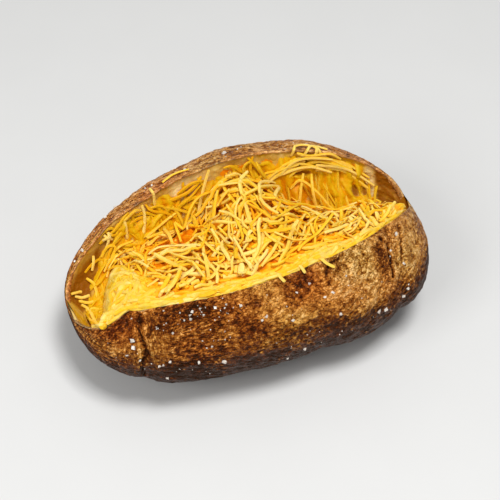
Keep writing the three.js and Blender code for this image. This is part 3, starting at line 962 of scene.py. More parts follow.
class MakeFlesh(bpy.types.Operator):
    """Makes the crumb inside the skin, with a rough torn face"""

    bl_idname = "potato.flesh"
    bl_label = "Flesh"

    def execute(self, context):
        t = 0.992 * even_stations(FLESH_STATIONS)[:, None]
        share = np.linspace(0.004, 0.996, FLESH_TOP)[None, :]
        top = flesh_point(t, share)
        normals = grid_normals(top)
        if normals[FLESH_STATIONS // 2, FLESH_TOP // 2, 2] < 0:
            normals = -normals
        x, across = top[..., 0], share * ACROSS + 0 * t
        torn = 0.8 * rough(top, 6, 51, 4) + 0.35 * grain(top, 1.4, 55)
        film_end = np.interp(-x, *FILM_AT_THIN_END)
        bare_wall = smoothstep(-x, 47, 53) * (1 - smoothstep(across, film_end + 2, film_end + 6))
        edge = np.sin(math.pi * share)
        sunk = 0.3 * (1 - smoothstep(edge, 0, 0.12))
        relief = 0.8 * torn * (1 - 0.25 * bare_wall) * smoothstep(edge, 0, 0.2) - sunk
        top = top + normals * (relief * taper(t, 10))[..., None]
        under = np.linspace(0, 1, FLESH_UNDER)[None, :]
        angle = lerp(near_lip_angle(t), far_lip_angle(t) + 2 * math.pi, under)
        wall = skin_point(t, angle)
        inset = 0.6 + 1.6 * smoothstep(np.minimum(under, 1 - under), 0, 0.04)
        wall = wall - outward(wall) * (inset * taper(t, 12))[..., None]
        rings = np.concatenate([top, wall], 1)
        flat = in_plane(x, across)
        stain = 0.85 + 0.3 * rough(flat, 8, 57)
        stain = stain - 0.8 * patch(x, across, -11, 5, 9, 5) - 0.3 * patch(x, across, -33, 6, 7, 4)
        stain = stain - 0.8 * smoothstep(across, 66, 69) - 0.9 * bell(x, 58.5, 1.6)
        # The crumb in the holes of the film is given the dark bare-wall colour: painted shade in the
        # holes.
        brown = np.maximum(bare_wall * smoothstep(across, 2, 9), 0.9 * film_holes(x, across))
        brown = brown + 0.3 * grain(flat, 3, 59) * bare_wall
        fat_end = 0.95 * smoothstep(x, 59.5, 61.5) + 0.4 * grain(flat, 3, 58) * (x > 60)
        brown = np.maximum(brown, fat_end)
        values = {"stain": np.clip(stain, 0, 1), "brown": np.clip(brown, 0, 1)}
        walled = {key: np.concatenate([v, 0 * wall[..., 0]], 1) for key, v in values.items()}
        piece = lofted("flesh", rings, **walled)
        finished(piece, "potato_flesh", flesh_material(context.scene.potato_colours), "potato")
        return {"FINISHED"}


# ---- Cheese ----


def melting(x, across):
    """1 where the cheese has melted together, 0 where it still lies in shreds."""
    flat = in_plane(x, across)
    stray = 3.5 * grain(flat, 9, 68)
    near_start = 55 - 4 * bell(x, 24, 20) + 6 * smoothstep(x, 30, 40)
    near_band = smoothstep(across + stray, near_start, near_start + 6)
    left_start = 34 - 13 * smoothstep(-x, 42, 50)
    left = smoothstep(across + stray, left_start, left_start + 10)
    left = smoothstep(-x + 1.2 * stray, 33, 43) * left
    slope = 0.25 * (x - 20)
    film = smoothstep(x, 18, 26) * (1 - smoothstep(across, 20 + slope, 28 + slope))
    end = 0.8 * smoothstep(x, 52, 62)
    return np.clip(near_band + left + film + end, 0, 1)


# How far the film reaches up the wall at the thin end: values of -x and of across.
FILM_AT_THIN_END = (42, 47, 51, 55, 58, 62, 64, 66, 70), (4, 5, 9, 13, 17, 23, 26, 28, 24)


def film_edge(x):
    """The uneven line, as across, to which a film of melted cheese runs up the far wall."""
    line = in_plane(x, 0 * x)
    edge = 2.6 + 1.8 * grain(line, 7, 81) + 1.0 * grain(line, 2.6, 82)
    edge = edge + 5 * bell(x, -13, 6) + 3 * bell(x, -33, 5) - 0.6 * smoothstep(x, 22, 30)
    foot = foot_share(x) * ACROSS
    edge = lerp(np.minimum(edge, foot), foot, smoothstep(x, 56, 59.5))
    thin_end = np.interp(-x, *FILM_AT_THIN_END) + 1.6 * grain(line, 4, 83)
    return lerp(edge, np.minimum(thin_end, foot), smoothstep(-x, 42, 47))


def film_share(x, across):
    """1 on the film that runs up the far wall, 0 elsewhere."""
    foot = foot_share(x)
    start = film_edge(x)
    below = smoothstep(across, (foot - 0.06) * ACROSS, (foot + 0.02) * ACROSS)
    return smoothstep(across, start - 0.5, start + 1) * (1 - below)


def groove(x, across):
    """1 in the middle of the hollow between the far wall and the heap, falling to 0 round it."""
    return patch(x, across, -26, 27, 15, 5.5)


def pressed(table, heights, path, width, rise):
    """Presses a strand into a table of heights, as a ridge that follows what lies under it."""
    reach = int(math.ceil(width / 2 / table.step))
    di, dj = np.mgrid[-reach : reach + 1, -reach : reach + 1]
    away = np.hypot(di, dj) * table.step / (width / 2)
    near = away < 1
    profile = rise * (1 - away[near] ** 2) ** 0.6
    i, j = table.spots(path[:, 0], path[:, 1])
    under = np.convolve(np.pad(heights[i, j], 6, mode="edge"), np.ones(13) / 13, "valid")
    i = np.clip(i[:, None] + di[near][None, :], 0, heights.shape[0] - 1)
    j = np.clip(j[:, None] + dj[near][None, :], 0, heights.shape[1] - 1)
    ends = np.clip(np.minimum(np.arange(len(path)), np.arange(len(path))[::-1]) / 4, 0.3, 1)
    np.maximum.at(heights, (i, j), under[:, None] + profile[None, :] * ends[:, None] - 0.35 * rise)


CORE_TABLE = (0.3, 68.7, -2.4, 74.4)  # like WIDE_TABLE
CORE_X, CORE_ACROSS = (-64, 64), (4, 71.5)  # where strands melt into the core
CORE_STRANDS = 1050
CORE_STEP = 0.35  # between the points of a strand
# How many rings the core has, and points in a ring on its top and on its underside.
CORE_STATIONS, CORE_OVER, CORE_UNDER = 290, 180, 20


class Core:
    """The top of the core as heights over the carrier: soft lumps with strands melted into them."""

    def __init__(self):
        self.table = Table(*CORE_TABLE)
        x, across = self.table.x, self.table.across
        flat = in_plane(x, across)
        lumps = 0.8 * grain(flat, 6, 61) + 0.5 * grain(flat, 2.6, 62)
        self.melt = melting(x, across)
        self.film = film_share(x, across)
        self.heights = self.pile(x, across, lumps)
        fine = np.clip((self.heights - softened(self.heights, 24)) / 0.9, -1, 1)
        # The core under loose shreds gets a deep tone, and is deeper still where it lies lower than
        # round it and paler where higher: painted shade in the gaps and dips, painted light on the
        # bumps.
        tone = lerp(0.06, 0.66, self.melt) + lerp(0.3, 0.28, self.melt) * fine + 0.08 * lumps
        tone = lerp(tone, 0.55 + 0.26 * fine, self.film)
        # Deeper tone in the groove along the far wall and in the hollow at the fat end: painted
        # shade.
        painted_hollow_shade = 0.26 * groove(x, across) + 0.22 * patch(x, across, 29, 15, 8, 5)
        lip = smoothstep(across, 68.5, 71) * smoothstep(x, -60, -54) * (1 - smoothstep(x, -32, -24))
        lumpy_end = smoothstep(-x, 40, 50) * smoothstep(across, 18, 28)
        self.tone = tone - painted_hollow_shade + 0.36 * lip + 0.1 * lumpy_end

    def pile(self, x, across, lumps):
        """Heights of the lumps, the film and the strands that have melted into them."""
        band = bell(across, 68.5, 4.5) * (0.6 + 0.7 * bell(x, 17, 12)) * smoothstep(x, -64, -40)
        heights = lerp(-1.0 + 0.8 * lumps, 0.4 + 0.8 * lumps + 0.9 * band, self.melt)
        ribs = grain(in_plane(x / 1.5, across / 9), 1, 66)
        curtain = smoothstep(x, 17, 25)
        wall = lerp(0.4 * lumps, 0.35 + 0.4 * ribs + 0.3 * lumps, curtain)
        heights = lerp(heights, wall, self.film)
        random = np.random.default_rng(21)
        for _ in range(CORE_STRANDS):
            place = random.uniform(*CORE_X), random.uniform(*CORE_ACROSS)
            path = shred_path(random, *place, float(random.uniform(4, 15)), CORE_STEP)
            spot = self.table.spots(*place)
            if self.film[spot] > 0.4 and curtain[spot] > 0.5:
                path = curtain_path(random, *place)
            width, rise = random.uniform(1.5, 2.5), random.uniform(1.0, 1.5)
            pressed(self.table, heights, path, width, rise)
        return heights - 2.6 * film_holes(x, across)

    def height(self, x, across):
        return self.table.read(self.heights, x, across)


def curtain_path(random, x, across, longest=13):
    """A strand of the film at the fat end, which runs down the wall."""
    long = random.uniform(5, longest)
    way = np.linspace(-0.5, 0.5, int(long / CORE_STEP))
    lean = random.normal(0.1 * (x - 45) / 20, 0.22)
    bow = random.normal(0, 0.12) * long * (0.25 - way**2)
    return np.stack([x + lean * long * way + bow, across + long * way], -1)


class Cover:
    """How high cheese lies over the carrier already, and how high it may."""

    def __init__(self, core):
        self.table = Table(*WIDE_TABLE)
        x, across = self.table.x, self.table.across
        _, _, near, _ = heap_at(x * 2 / LENGTH)
        on_heap = (across > film_edge(x)) & (across < near * ACROSS)
        self.heights = np.where(on_heap, core.height(x, across), 0.0)
        self.limit = pile_limit(x, across)

    def highest(self, x, across, reach):
        found = []
        for dx, dy in ((0, 0), (reach, 0), (-reach, 0), (0, reach), (0, -reach)):
            found.append(self.heights[self.table.spots(x + dx, across + dy)])
        return np.max(found, 0)

    def raise_to(self, x, across, height, reach):
        for dx in (-reach, 0, reach):
            for dy in (-reach, 0, reach):
                np.maximum.at(self.heights, self.table.spots(x + dx, across + dy), height)


SHRED_SIDES = 5
FLAT_TOP = math.pi / 2 - math.pi / SHRED_SIDES  # angle of the first corner, for one side on top


def strand(points, ups, width, thickness, turn, uneven):
    """Vertices and faces of one strand through points, with blunt ends. It twists by a turn, and
    uneven holds how far each corner of each ring is out, about 1."""
    count = len(points)
    along = unit(np.gradient(points, axis=0))
    side = unit(np.cross(along, ups))
    up = np.cross(side, along)
    way = np.linspace(0, 1, count)
    narrow = 1 - 0.22 * np.abs(2 * way - 1) ** 12
    vertices = []
    for k in range(SHRED_SIDES):
        angle = 2 * math.pi * k / SHRED_SIDES + turn * way + FLAT_TOP
        a = (narrow * uneven[:, k] * width / 2 * np.cos(angle))[:, None]
        b = (narrow * uneven[:, k] * thickness / 2 * np.sin(angle))[:, None]
        vertices.append(points + side * a + up * b)
    vertices = np.stack(vertices, 1).reshape(-1, 3)
    faces = []
    for ring in range(count - 1):
        for k in range(SHRED_SIDES):
            a, b = ring * SHRED_SIDES + k, ring * SHRED_SIDES + (k + 1) % SHRED_SIDES
            faces.append((a, b, b + SHRED_SIDES, a + SHRED_SIDES))
    faces.append(tuple(range(SHRED_SIDES))[::-1])
    faces.append(tuple((count - 1) * SHRED_SIDES + k for k in range(SHRED_SIDES)))
    return vertices, faces


def smooth_path(knots, count):
    """Points evenly spread along a smooth curve through knots."""
    knots = np.asarray(knots, float)
    padded = np.concatenate([[2 * knots[0] - knots[1]], knots, [2 * knots[-1] - knots[-2]]])
    fine = []
    for i in range(1, len(padded) - 2):
        p0, p1, p2, p3 = padded[i - 1 : i + 3]
        u = np.linspace(0, 1, 24, endpoint=i == len(padded) - 3)[:, None]
        bend = 2 * p0 - 5 * p1 + 4 * p2 - p3
        twist = 3 * p1 - p0 - 3 * p2 + p3
        fine.append(0.5 * (2 * p1 + (p2 - p0) * u + bend * u**2 + twist * u**3))
    fine = np.concatenate(fine)
    way = np.concatenate([[0], np.cumsum(np.linalg.norm(np.diff(fine, axis=0), axis=1))])
    even = np.linspace(0, way[-1], count)
    return np.stack([np.interp(even, way, fine[:, k]) for k in range(fine.shape[1])], -1)


SAG = 0.02
SAG_ROUNDS = 60


def relaxed(support):
    """Heights of a shred that touches the high places under it and bridges the low ones."""
    heights = support.copy()
    for _ in range(SAG_ROUNDS):
        bridge = (heights[:-2] + heights[2:]) / 2 - SAG
        heights[1:-1] = np.maximum(support[1:-1], bridge)
        heights[0] = max(support[0], 2 * heights[1] - heights[2] - 3 * SAG)
        heights[-1] = max(support[-1], 2 * heights[-2] - heights[-3] - 3 * SAG)
    return heights


def pile_limit(x, across):
    """How high shreds may pile over the carrier."""
    flat = in_plane(x, across)
    fluffy = patch(x, across, 6, 20, 16, 9) + 0.5 * patch(x, across, -8, 42, 30, 16)
    film = smoothstep(x, 20, 28) * (1 - smoothstep(across, 20, 28))
    bare = 2.6 * film + 4.2 * groove(x, across) + 3.2 * melting(x, across)
    return 1.5 * grain(flat, 9, 71) + 1.7 * fluffy - bare


def clumping(x, across):
    """1 where the shreds are short and thick and stick together, 0 where they lie loose."""
    stray = 4 * grain(in_plane(x, across), 8, 76)
    left = smoothstep(across + stray, 44, 54) * smoothstep(-x + stray, -6, 8)
    right = 0.5 * smoothstep(across + stray, 52, 58) * smoothstep(x, 4, 20)
    return min(1.0, float(left + right))


def in_the_heap(x, across):
    foot, far, near, _ = heap_at(np.clip(x * 2 / LENGTH, -1, 1))
    inside = (across > np.minimum(foot, far + 0.08) * ACROSS - 2.5) & (across < near * ACROSS - 0.5)
    return np.all(inside & (np.abs(x) < 0.95 * HEAP_ENDS * LENGTH / 2) & (across > 3))


def softly(heights):
    """Heights along a path, evened out."""
    return np.convolve(np.pad(heights, 3, mode="edge"), np.ones(7) / 7, "valid")


class Shreds:
    """The shreds that one piece holds."""

    def __init__(self, random):
        self.random = random
        self.vertices, self.faces, self.tones, self.soaked = [], [], [], []

    def add(self, path, heights, width, thickness, tone, steps, turn=0.0, soaked=0.0):
        places = np.linspace(0, len(path) - 1, steps + 1)
        index = np.arange(len(path))
        x, across = (np.interp(places, index, path[:, k]) for k in range(2))
        height = np.interp(places, index, heights)
        points, normals = CARRIER.place(x, across, height)
        uneven = self.random.normal(1, 0.06, (steps + 1, SHRED_SIDES)).clip(0.8, 1.2)
        vertices, faces = strand(points, normals, width, thickness, turn, uneven)
        self.vertices.append(vertices)
        self.faces.append(faces)
        # Sides of a shred that face down get a deeper, more orange tone, and sides that face up a
        # paler one: painted shade and painted light on each shred.
        sides = 2 * math.pi * np.arange(SHRED_SIDES) / SHRED_SIDES + FLAT_TOP
        upward = np.sin(sides[None, :] + turn * np.linspace(0, 1, steps + 1)[:, None])
        shade = np.where(upward > 0, 0.08, 0.42) * upward
        self.tones.append((np.interp(places, index, tone)[:, None] + shade).ravel())
        self.soaked.append(np.full(len(vertices), soaked))

    def made(self, name, material):
        attributes = {"tone": self.tones, "soaked": self.soaked}
        piece = joined_mesh(name, self.vertices, self.faces, **attributes)
        finished(piece, "cheddar", material, "cheese")


STRONG_CURL = 1.6  # of one shred in five


def shred_path(random, x, across, length, step=0.6, curl=0.5):
    """A bent path in the surface, as points of x and across a step apart."""
    count = max(6, int(length / step))
    heading = 2 * math.pi * random.random()
    bend = random.normal(0, curl if random.random() < 0.8 else STRONG_CURL)
    sway = random.normal(0, 0.25)
    way = np.linspace(-0.5, 0.5, count)
    direction = heading + bend * way + sway * np.sin(2 * math.pi * way + 6.28 * random.random())
    dx, dy = np.cos(direction) * length / (count - 1), np.sin(direction) * length / (count - 1)
    px, py = np.cumsum(dx), np.cumsum(dy)
    return np.stack([x + px - px[count // 2], across + py - py[count // 2]], -1)


# Where the loose and the melted shreds are strewn, along x and across, and their numbers and sizes.
LOOSE_X, LOOSE_ACROSS = (-61, 60), (5, 70)
MELTED_X, MELTED_ACROSS = (-62, 62), (34, 70)
MELTED_SHREDS = 420
PLACE_TRIES = 7
LOG_LENGTH, SHORTEST, LONGEST = (2.75, 0.45), 4, 34  # middle and spread of its logarithm, and ends
WIDTH_SPREAD = (0.62, 1.3)  # as shares of the width that a user gives
THICKNESS_SPREAD = (0.5, 0.85)  # as shares of a shred's own width
CLUMP_CUT, CLUMP_SWELL = 0.55, 0.45  # by what share clumped shreds are shorter, and thicker
SHRED_REACH, SHRED_SINK = 0.4, 0.4  # how far a shred bears to its sides, and sinks into the others
TOP_LAYER = -1.5  # how high under the limit of the pile the top layer starts


class MakeCheese(bpy.types.Operator):
    """Makes the heap: its core, and the shreds that lie on it and on each other"""

    bl_idname = "potato.cheese"
    bl_label = "Cheese heap"

    def execute(self, context):
        scene = context.scene
        material = cheddar_material(scene.potato_colours)
        core = Core()
        self.core(core, material)
        random = np.random.default_rng(7)
        under, top = self.piled(random, core, scene.potato_cheese)
        self.melted(random, core).made("shreds_melted", material)
        under.made("shreds_under", material)
        top.made("shreds_top", material)
        return {"FINISHED"}

    def piled(self, random, core, sizes):
        """Loose shreds, each laid on what is there already: those below, and those on top."""
        cover = Cover(core)
        under, top = Shreds(random), Shreds(random)
        for _ in range(sizes.shreds):
            path = self.free_place(random, cover)
            if path is None:
                continue
            middle = path.mean(0)
            clumped = clumping(*middle)
            cut = max(CLUMP_CUT * clumped, 0.5 * float(smoothstep(middle[0], 18, 30)))
            left = int(len(path) * (1 - cut * random.random() ** 0.5))
            path = path[: max(6, left)]
            x, across = path.T
            width = sizes.shred_width / MM * random.uniform(*WIDTH_SPREAD)
            width = width * (1 + CLUMP_SWELL * clumped)
            thickness = width * random.uniform(*THICKNESS_SPREAD)
            support = cover.highest(x, across, SHRED_REACH) + thickness / 2 - SHRED_SINK
            heights = relaxed(support)
            limit = cover.limit[cover.table.spots(x, across)]
            over = np.mean(heights - sizes.pile_height / MM - limit)
            if over > 0:
                continue
            is_top = over > TOP_LAYER
            # Lower shreds get a deeper tone and the top layer a paler one: painted shade deep in the
            # pile and painted light on top.
            tone = lerp(0.10, 0.44, smoothstep(over, -4.0, -1.3)) + 0.19 * is_top
            here = in_plane(x.mean(), across.mean())
            tone = tone + random.uniform(-0.14, 0.24) + 0.2 * grain(here, 11, 74) + 0.1 * clumped
            tone = tone + 0.16 * patch(*middle, 5, 24, 11, 7) + 0 * heights
            if is_top and random.random() < 0.65:
                lift = np.linspace(1, random.uniform(-0.8, 0), len(path)).clip(0)
                lift = lift ** random.uniform(1, 2)
                lift = lift if random.random() < 0.5 else lift[::-1]
                heights = heights + random.uniform(0.8, 3.4) * lift - SHRED_SINK
                # Raised tips are made paler: painted light on them.
                tone = tone + 0.14 * lift - 0.05
            covered = np.minimum(heights, support + 1.2) + thickness / 2 - 0.1
            cover.raise_to(x, across, covered, SHRED_REACH)
            steps = int(np.clip(len(path) / 3.5, 3, 9))
            pile = top if is_top else under
            pile.add(path, heights, width, thickness, tone, steps, random.uniform(-1, 1))
        return under, top

    def melted(self, random, core):
        """Shreds that have half melted into the core."""
        shreds = Shreds(random)
        for _ in range(MELTED_SHREDS):
            x, across = random.uniform(*MELTED_X), random.uniform(*MELTED_ACROSS)
            if core.melt[core.table.spots(x, across)] < 0.7:
                continue
            path = shred_path(random, x, across, float(random.uniform(6, 18)))
            if across > 60:
                path[:, 1] = across + 0.35 * (path[:, 1] - across)
            if not in_the_heap(*path.T):
                continue
            width = random.uniform(1.2, 2.1)
            heights = softly(core.height(*path.T)) + random.uniform(-0.1, 0.3)
            tone = random.uniform(0.56, 0.8) + 0 * heights
            shreds.add(path, heights, width, 0.75 * width, tone, int(len(path) / 3), 0.5)
        return shreds

    def free_place(self, random, cover):
        """The lowest lying of a few random paths that stay in the heap."""
        best, lowest = None, math.inf
        for _ in range(PLACE_TRIES):
            x, across = random.uniform(*LOOSE_X), random.uniform(*LOOSE_ACROSS)
            length = float(np.clip(random.lognormal(*LOG_LENGTH), SHORTEST, LONGEST))
            path = shred_path(random, x, across, length)
            if not in_the_heap(*path.T):
                continue
            spots = cover.table.spots(*path.T)
            level = np.mean(cover.heights[spots] - cover.limit[spots])
            if level < lowest:
                best, lowest = path, level
        return best

    def core(self, core, material):
        """The piece under the shreds, closed by a wall inside the crumb."""
        t = HEAP_ENDS * np.sin(math.pi / 2 * np.linspace(-1, 1, CORE_STATIONS))[:, None]
        _, _, near, _ = heap_at(t)
        far = film_edge(t * LENGTH / 2) / ACROSS
        near = near + 0.028 * (1 - smoothstep(np.abs(t), 0.8, 0.93))
        way = np.linspace(0, 1, CORE_OVER)
        eased = (1 - np.cos(math.pi * way)) / 2
        share = lerp(far, near, lerp(way, eased, 0.4)[None, :])
        x, across = (t * LENGTH / 2 + 0 * share), share * ACROSS
        far_edge = np.clip((share - far) / 0.05, 0, 1)
        near_edge = np.clip((near - share) / 0.014, 0, 1)
        height = lerp(-1.4, core.height(x, across), np.sqrt(far_edge))
        height = lerp(0.0, height, np.sqrt(near_edge))
        top, _ = CARRIER.place(x, across, height)
        share_under = lerp(far, np.minimum(near, 0.985), np.linspace(1, 0, CORE_UNDER)[None, :])
        under = flesh_point(t, share_under)
        under[..., 2] -= 1.6
        rings = np.concatenate([top, under], 1)
        rings[0], rings[-1] = rings[0].mean(0), rings[-1].mean(0)
        # The film on the far wall carries soaked, which darkens it, partly as painted shade.
        tone, soaked = core.table.read(core.tone, x, across), core.table.read(core.film, x, across)
        values = {"tone": np.clip(tone, 0, 1), "soaked": soaked}
        below = 0 * under[..., 0]
        values = {key: np.concatenate([value, below], 1) for key, value in values.items()}
        piece = lofted("cheese_core", rings, **values)
        finished(piece, "cheddar", material, "cheese")


# Shreds placed one by one: points of x, across and height over the carrier, and a tone.
LONG_SHREDS = [
    ([(-4, 1, 1.2), (-8, 8, 2.2), (-12, 17, 1.2)], 0.85),
    ([(-22, 28, 1.0), (-20, 20, 5), (-16, 11, 7), (-10, 7, 5), (0, 9, 1.6)], 0.62),
    ([(-38, 24, 0.6), (-31, 16, 3.4), (-26, 16, 5), (-25, 24, 4), (-26, 31, 1.4)], 0.72),
    ([(-33, 14, 1.6), (-26, 12, 2.6), (-19, 11, 1.4)], 0.7),
    ([(-32, 2, 0.6), (-32, 7, 1.4), (-34, 14, 0.9)], 0.9),
    ([(-27, -4, 0.5), (-27, 0, 1.0), (-27, 5, 0.8)], 0.85),
    ([(-40, 2, 0.6), (-40, 6, 1.4), (-40, 11, 0.8)], 0.85),
    ([(-40, 3, 1.2), (-36, 1, 2.0), (-33, 3, 1.2)], 0.7),
    ([(-52, 11, 1.2), (-49, 8, 2.2), (-46, 11, 2.4), (-49, 15, 1.6), (-51, 13, 1.4), (-50, 20, 1.4),
      (-43, 34, 1.2), (-38, 42, 1.0)], 0.6),
    ([(-55, 7, 0.8), (-56, 10, 1.4), (-57, 13, 0.9)], 0.8),
    ([(-36, 31, 2), (-31, 30, 3), (-21, 36, 3.4), (-12, 40, 2.6)], 0.95),
    ([(22, 9, 1.0), (25, 5, 2), (31, 3, 2), (42, 2, 1.6), (52, 5, 1.2)], 0.7),
    ([(27, 13, 2), (32, 10, 3.5), (39, 18, 5), (43, 30, 2.0)], 0.66),
    ([(33, 8, 2.2), (30, 15, 4.0), (27, 26, 1.6)], 0.7),
    ([(36, 8, 2.6), (35, 15, 5.0), (35, 27, 1.6)], 0.7),
    ([(11, 58, 2), (16, 66, 1.5), (19, 73, 1.2), (22, 77, 0.9)], 0.75),
    ([(0, 66, 1.4), (1, 71, 1.5), (3, 75, 0.7)], 0.8),
    ([(10, 67, 1.4), (10, 71, 1.4), (11, 74.5, 0.7)], 0.8),
    ([(-22, -2, 0.5), (-17, -3, 0.9), (-11, -2, 0.6)], 0.7),
    ([(29, 2, 0.5), (31, -1.5, 1.0), (35, -2.5, 1.1), (39, -0.5, 0.9), (41, 2, 0.5)], 0.8),
    ([(33, 3, 0.6), (35, 0, 1.4), (38, -1.5, 1.2), (43, -1, 0.6)], 0.85),
    ([(36, -3.5, 0.5), (38.5, -1, 1.2), (38, 2, 1.2)], 0.8),
    ([(31, 1, 0.9), (36, 1.5, 1.6), (44, 0.5, 1.0), (48, 2, 0.6)], 0.7),
    ([(-68.5, 8, 0.4), (-67, 13, 0.9), (-64, 18, 0.6)], 0.72),
    ([(-68, 14, 0.4), (-65.5, 20, 0.9), (-61, 23, 0.5)], 0.8),
    ([(-67.5, 20, 0.4), (-64, 25, 0.9), (-60, 27, 0.5)], 0.7),
    ([(-67, 24, 0.4), (-64, 31, 0.8), (-63, 40, 0.4)], 0.75),
    ([(-66, 30, 0.4), (-61, 31, 0.9), (-58, 36, 0.4)], 0.66),
    ([(-66.5, 36, 0.4), (-63, 42, 0.8), (-62, 50, 0.4)], 0.72),
    ([(-60, 14, 0.5), (-58, 20, 1.2), (-58, 28, 0.5)], 0.66),
    ([(-49, 3, 0.5), (-48, 6, 1.6), (-49, 9, 0.8)], 1.0),
    ([(-47, 3.5, 0.5), (-47.5, 5, 1.9), (-46, 8, 0.7)], 1.0),
    ([(-50, 5, 0.5), (-48, 4.5, 1.8), (-45.5, 5, 0.6)], 1.0),
    ([(-46, 12, 0.6), (-43, 17, 1.5), (-44, 24, 0.8)], 0.62),
    ([(-50, 16, 0.6), (-45, 12, 2.0), (-38, 13, 0.7)], 0.66),
]


WALL_STRANDS, CURTAIN_STRANDS, BUNDLE_STRANDS = 96, 40, 30
BUNDLE_POINTS, LONG_POINTS = 30, 60


def wall_strands(random):
    """Strands that hang on the far wall: points of x and across, a height and a tone."""
    strands = []
    for _ in range(WALL_STRANDS):
        x, across = random.uniform(-56, 20), 3 + 15 * random.random()
        across = min(across, foot_share(x) * ACROSS + 1)
        length = float(random.uniform(6, 20))
        path = shred_path(random, x, across, length, curl=1.3)
        strands.append((path, random.uniform(0.1, 2.0), 0.48 + 0.24 * random.random()))
    for _ in range(CURTAIN_STRANDS):
        path = curtain_path(random, random.uniform(24, 63), random.uniform(11, 20), 22)
        strands.append((path, random.uniform(0.2, 1.6), 0.56 + 0.2 * random.random()))
    return [entry for entry in strands if on_far_wall(entry[0])]


def clear_of_holes(path):
    return np.max(film_holes(path[:, 0], path[:, 1])) < 0.2


def on_far_wall(path):
    x, across = path.T
    inside = (across > 1) & (across < foot_share(x) * ACROSS + 6) & (np.abs(x) < 65)
    return np.all(inside) and clear_of_holes(path)


def bundle_strands(random):
    """Strands of the bundle along the far edge at the fat end: knots and a tone."""
    strands = []
    for _ in range(BUNDLE_STRANDS):
        off, side, lift = random.normal(0, 2.3), random.normal(0, 4), random.uniform(0.15, 0.9)
        lean = random.normal(0, 2.4)
        knots = [
            (18 + side, 14 + off - lean, 1.0),
            (25 + side, 8.5 + off - 0.6 * lean, 2.6 * lift),
            (35 + side, 5.0 + 0.8 * off, 3.4 * lift),
            (46 + side, 5.4 + 0.8 * off + 0.5 * lean, 3.0 * lift),
            (55 + side, 9.0 + off + lean, 2.2 * lift),
            (60 + 0.4 * side, 14 + off + lean, 1.0 * lift),
        ]
        knots = [(x + random.normal(0, 1), a + random.normal(0, 0.9), h) for x, a, h in knots]
        first = random.integers(0, 3)
        knots = knots[first : first + 3]
        if clear_of_holes(smooth_path(knots, BUNDLE_POINTS)):
            strands.append((knots, 0.56 + 0.3 * random.random()))
    return strands


class MakeLongShreds(bpy.types.Operator):
    """Makes the long shreds that lean on the far wall, span the groove or hang over the edges"""

    bl_idname = "potato.long_shreds"
    bl_label = "Long shreds"

    def execute(self, context):
        width = 0.92 * context.scene.potato_cheese.shred_width / MM
        shreds = Shreds(np.random.default_rng(9))
        random = np.random.default_rng(31)
        for knots, tone in LONG_SHREDS + bundle_strands(random):
            path = smooth_path(knots, LONG_POINTS)
            steps = int(np.clip(6 * len(knots), 14, 40))
            tones = np.full(len(path), tone)
            shreds.add(path[:, :2], path[:, 2], width, 0.7 * width, tones, steps, 0.6)
        for path, height, tone in wall_strands(random):
            heights = 0.1 + height * np.sin(math.pi * np.linspace(0, 1, len(path))) ** 0.6
            own_width = width * random.uniform(0.7, 1.2)
            tones = np.full(len(path), tone)
            # Strands on the far wall are darkened like the film, partly as painted shade.
            shreds.add(path, heights, own_width, 0.7 * own_width, tones, 9, soaked=0.7)
        shreds.made("shreds_long", bpy.data.materials["grated_cheddar"])
        return {"FINISHED"}


# ---- Salt ----

SALT_SEED, COARSE_GRAINS = 20, 34
COARSE_SIZE = (0.9, 1.6)
SALT_ON_FAR_HALF = 0.2
SALT_FROM, SALT_TO = -62, 50  # along x
SALT_DOWN, SALT_BEYOND = 55, 12  # below the near edge, and beyond the far one
# Clusters of salt, as x and the way below the near edge (or, below 0, beyond the far one), how many
# grains and how widely they are strewn.
SALT_CLUSTERS = [
    (-27, -5.5, 4, 2.0), (-41, 12, 9, 3.0), (-27, 22, 7, 3.5), (-31, 6, 12, 1.8), (9, -5, 4, 3.0),
    (28, -7, 6, 4.0), (35, -7, 5, 3.0), (-20, 4, 6, 2.5), (-24, 8, 6, 3.5), (2, 38, 4, 4.0),
    (20, 42, 4, 4.0), (-38, 8, 5, 2.5),
]
BOX = np.array(list(itertools.product((-1, 1), repeat=3))) / 2
BOX_FACES = [(0, 1, 3, 2), (4, 6, 7, 5), (0, 4, 5, 1), (2, 3, 7, 6), (0, 2, 6, 4), (1, 5, 7, 3)]


def salt_numbers():
    """The random numbers by which the part's own grains are strewn."""
    state = SALT_SEED
    while True:
        state = (state * 1664525 + 1013904223) % 4294967296
        yield state / 4294967296


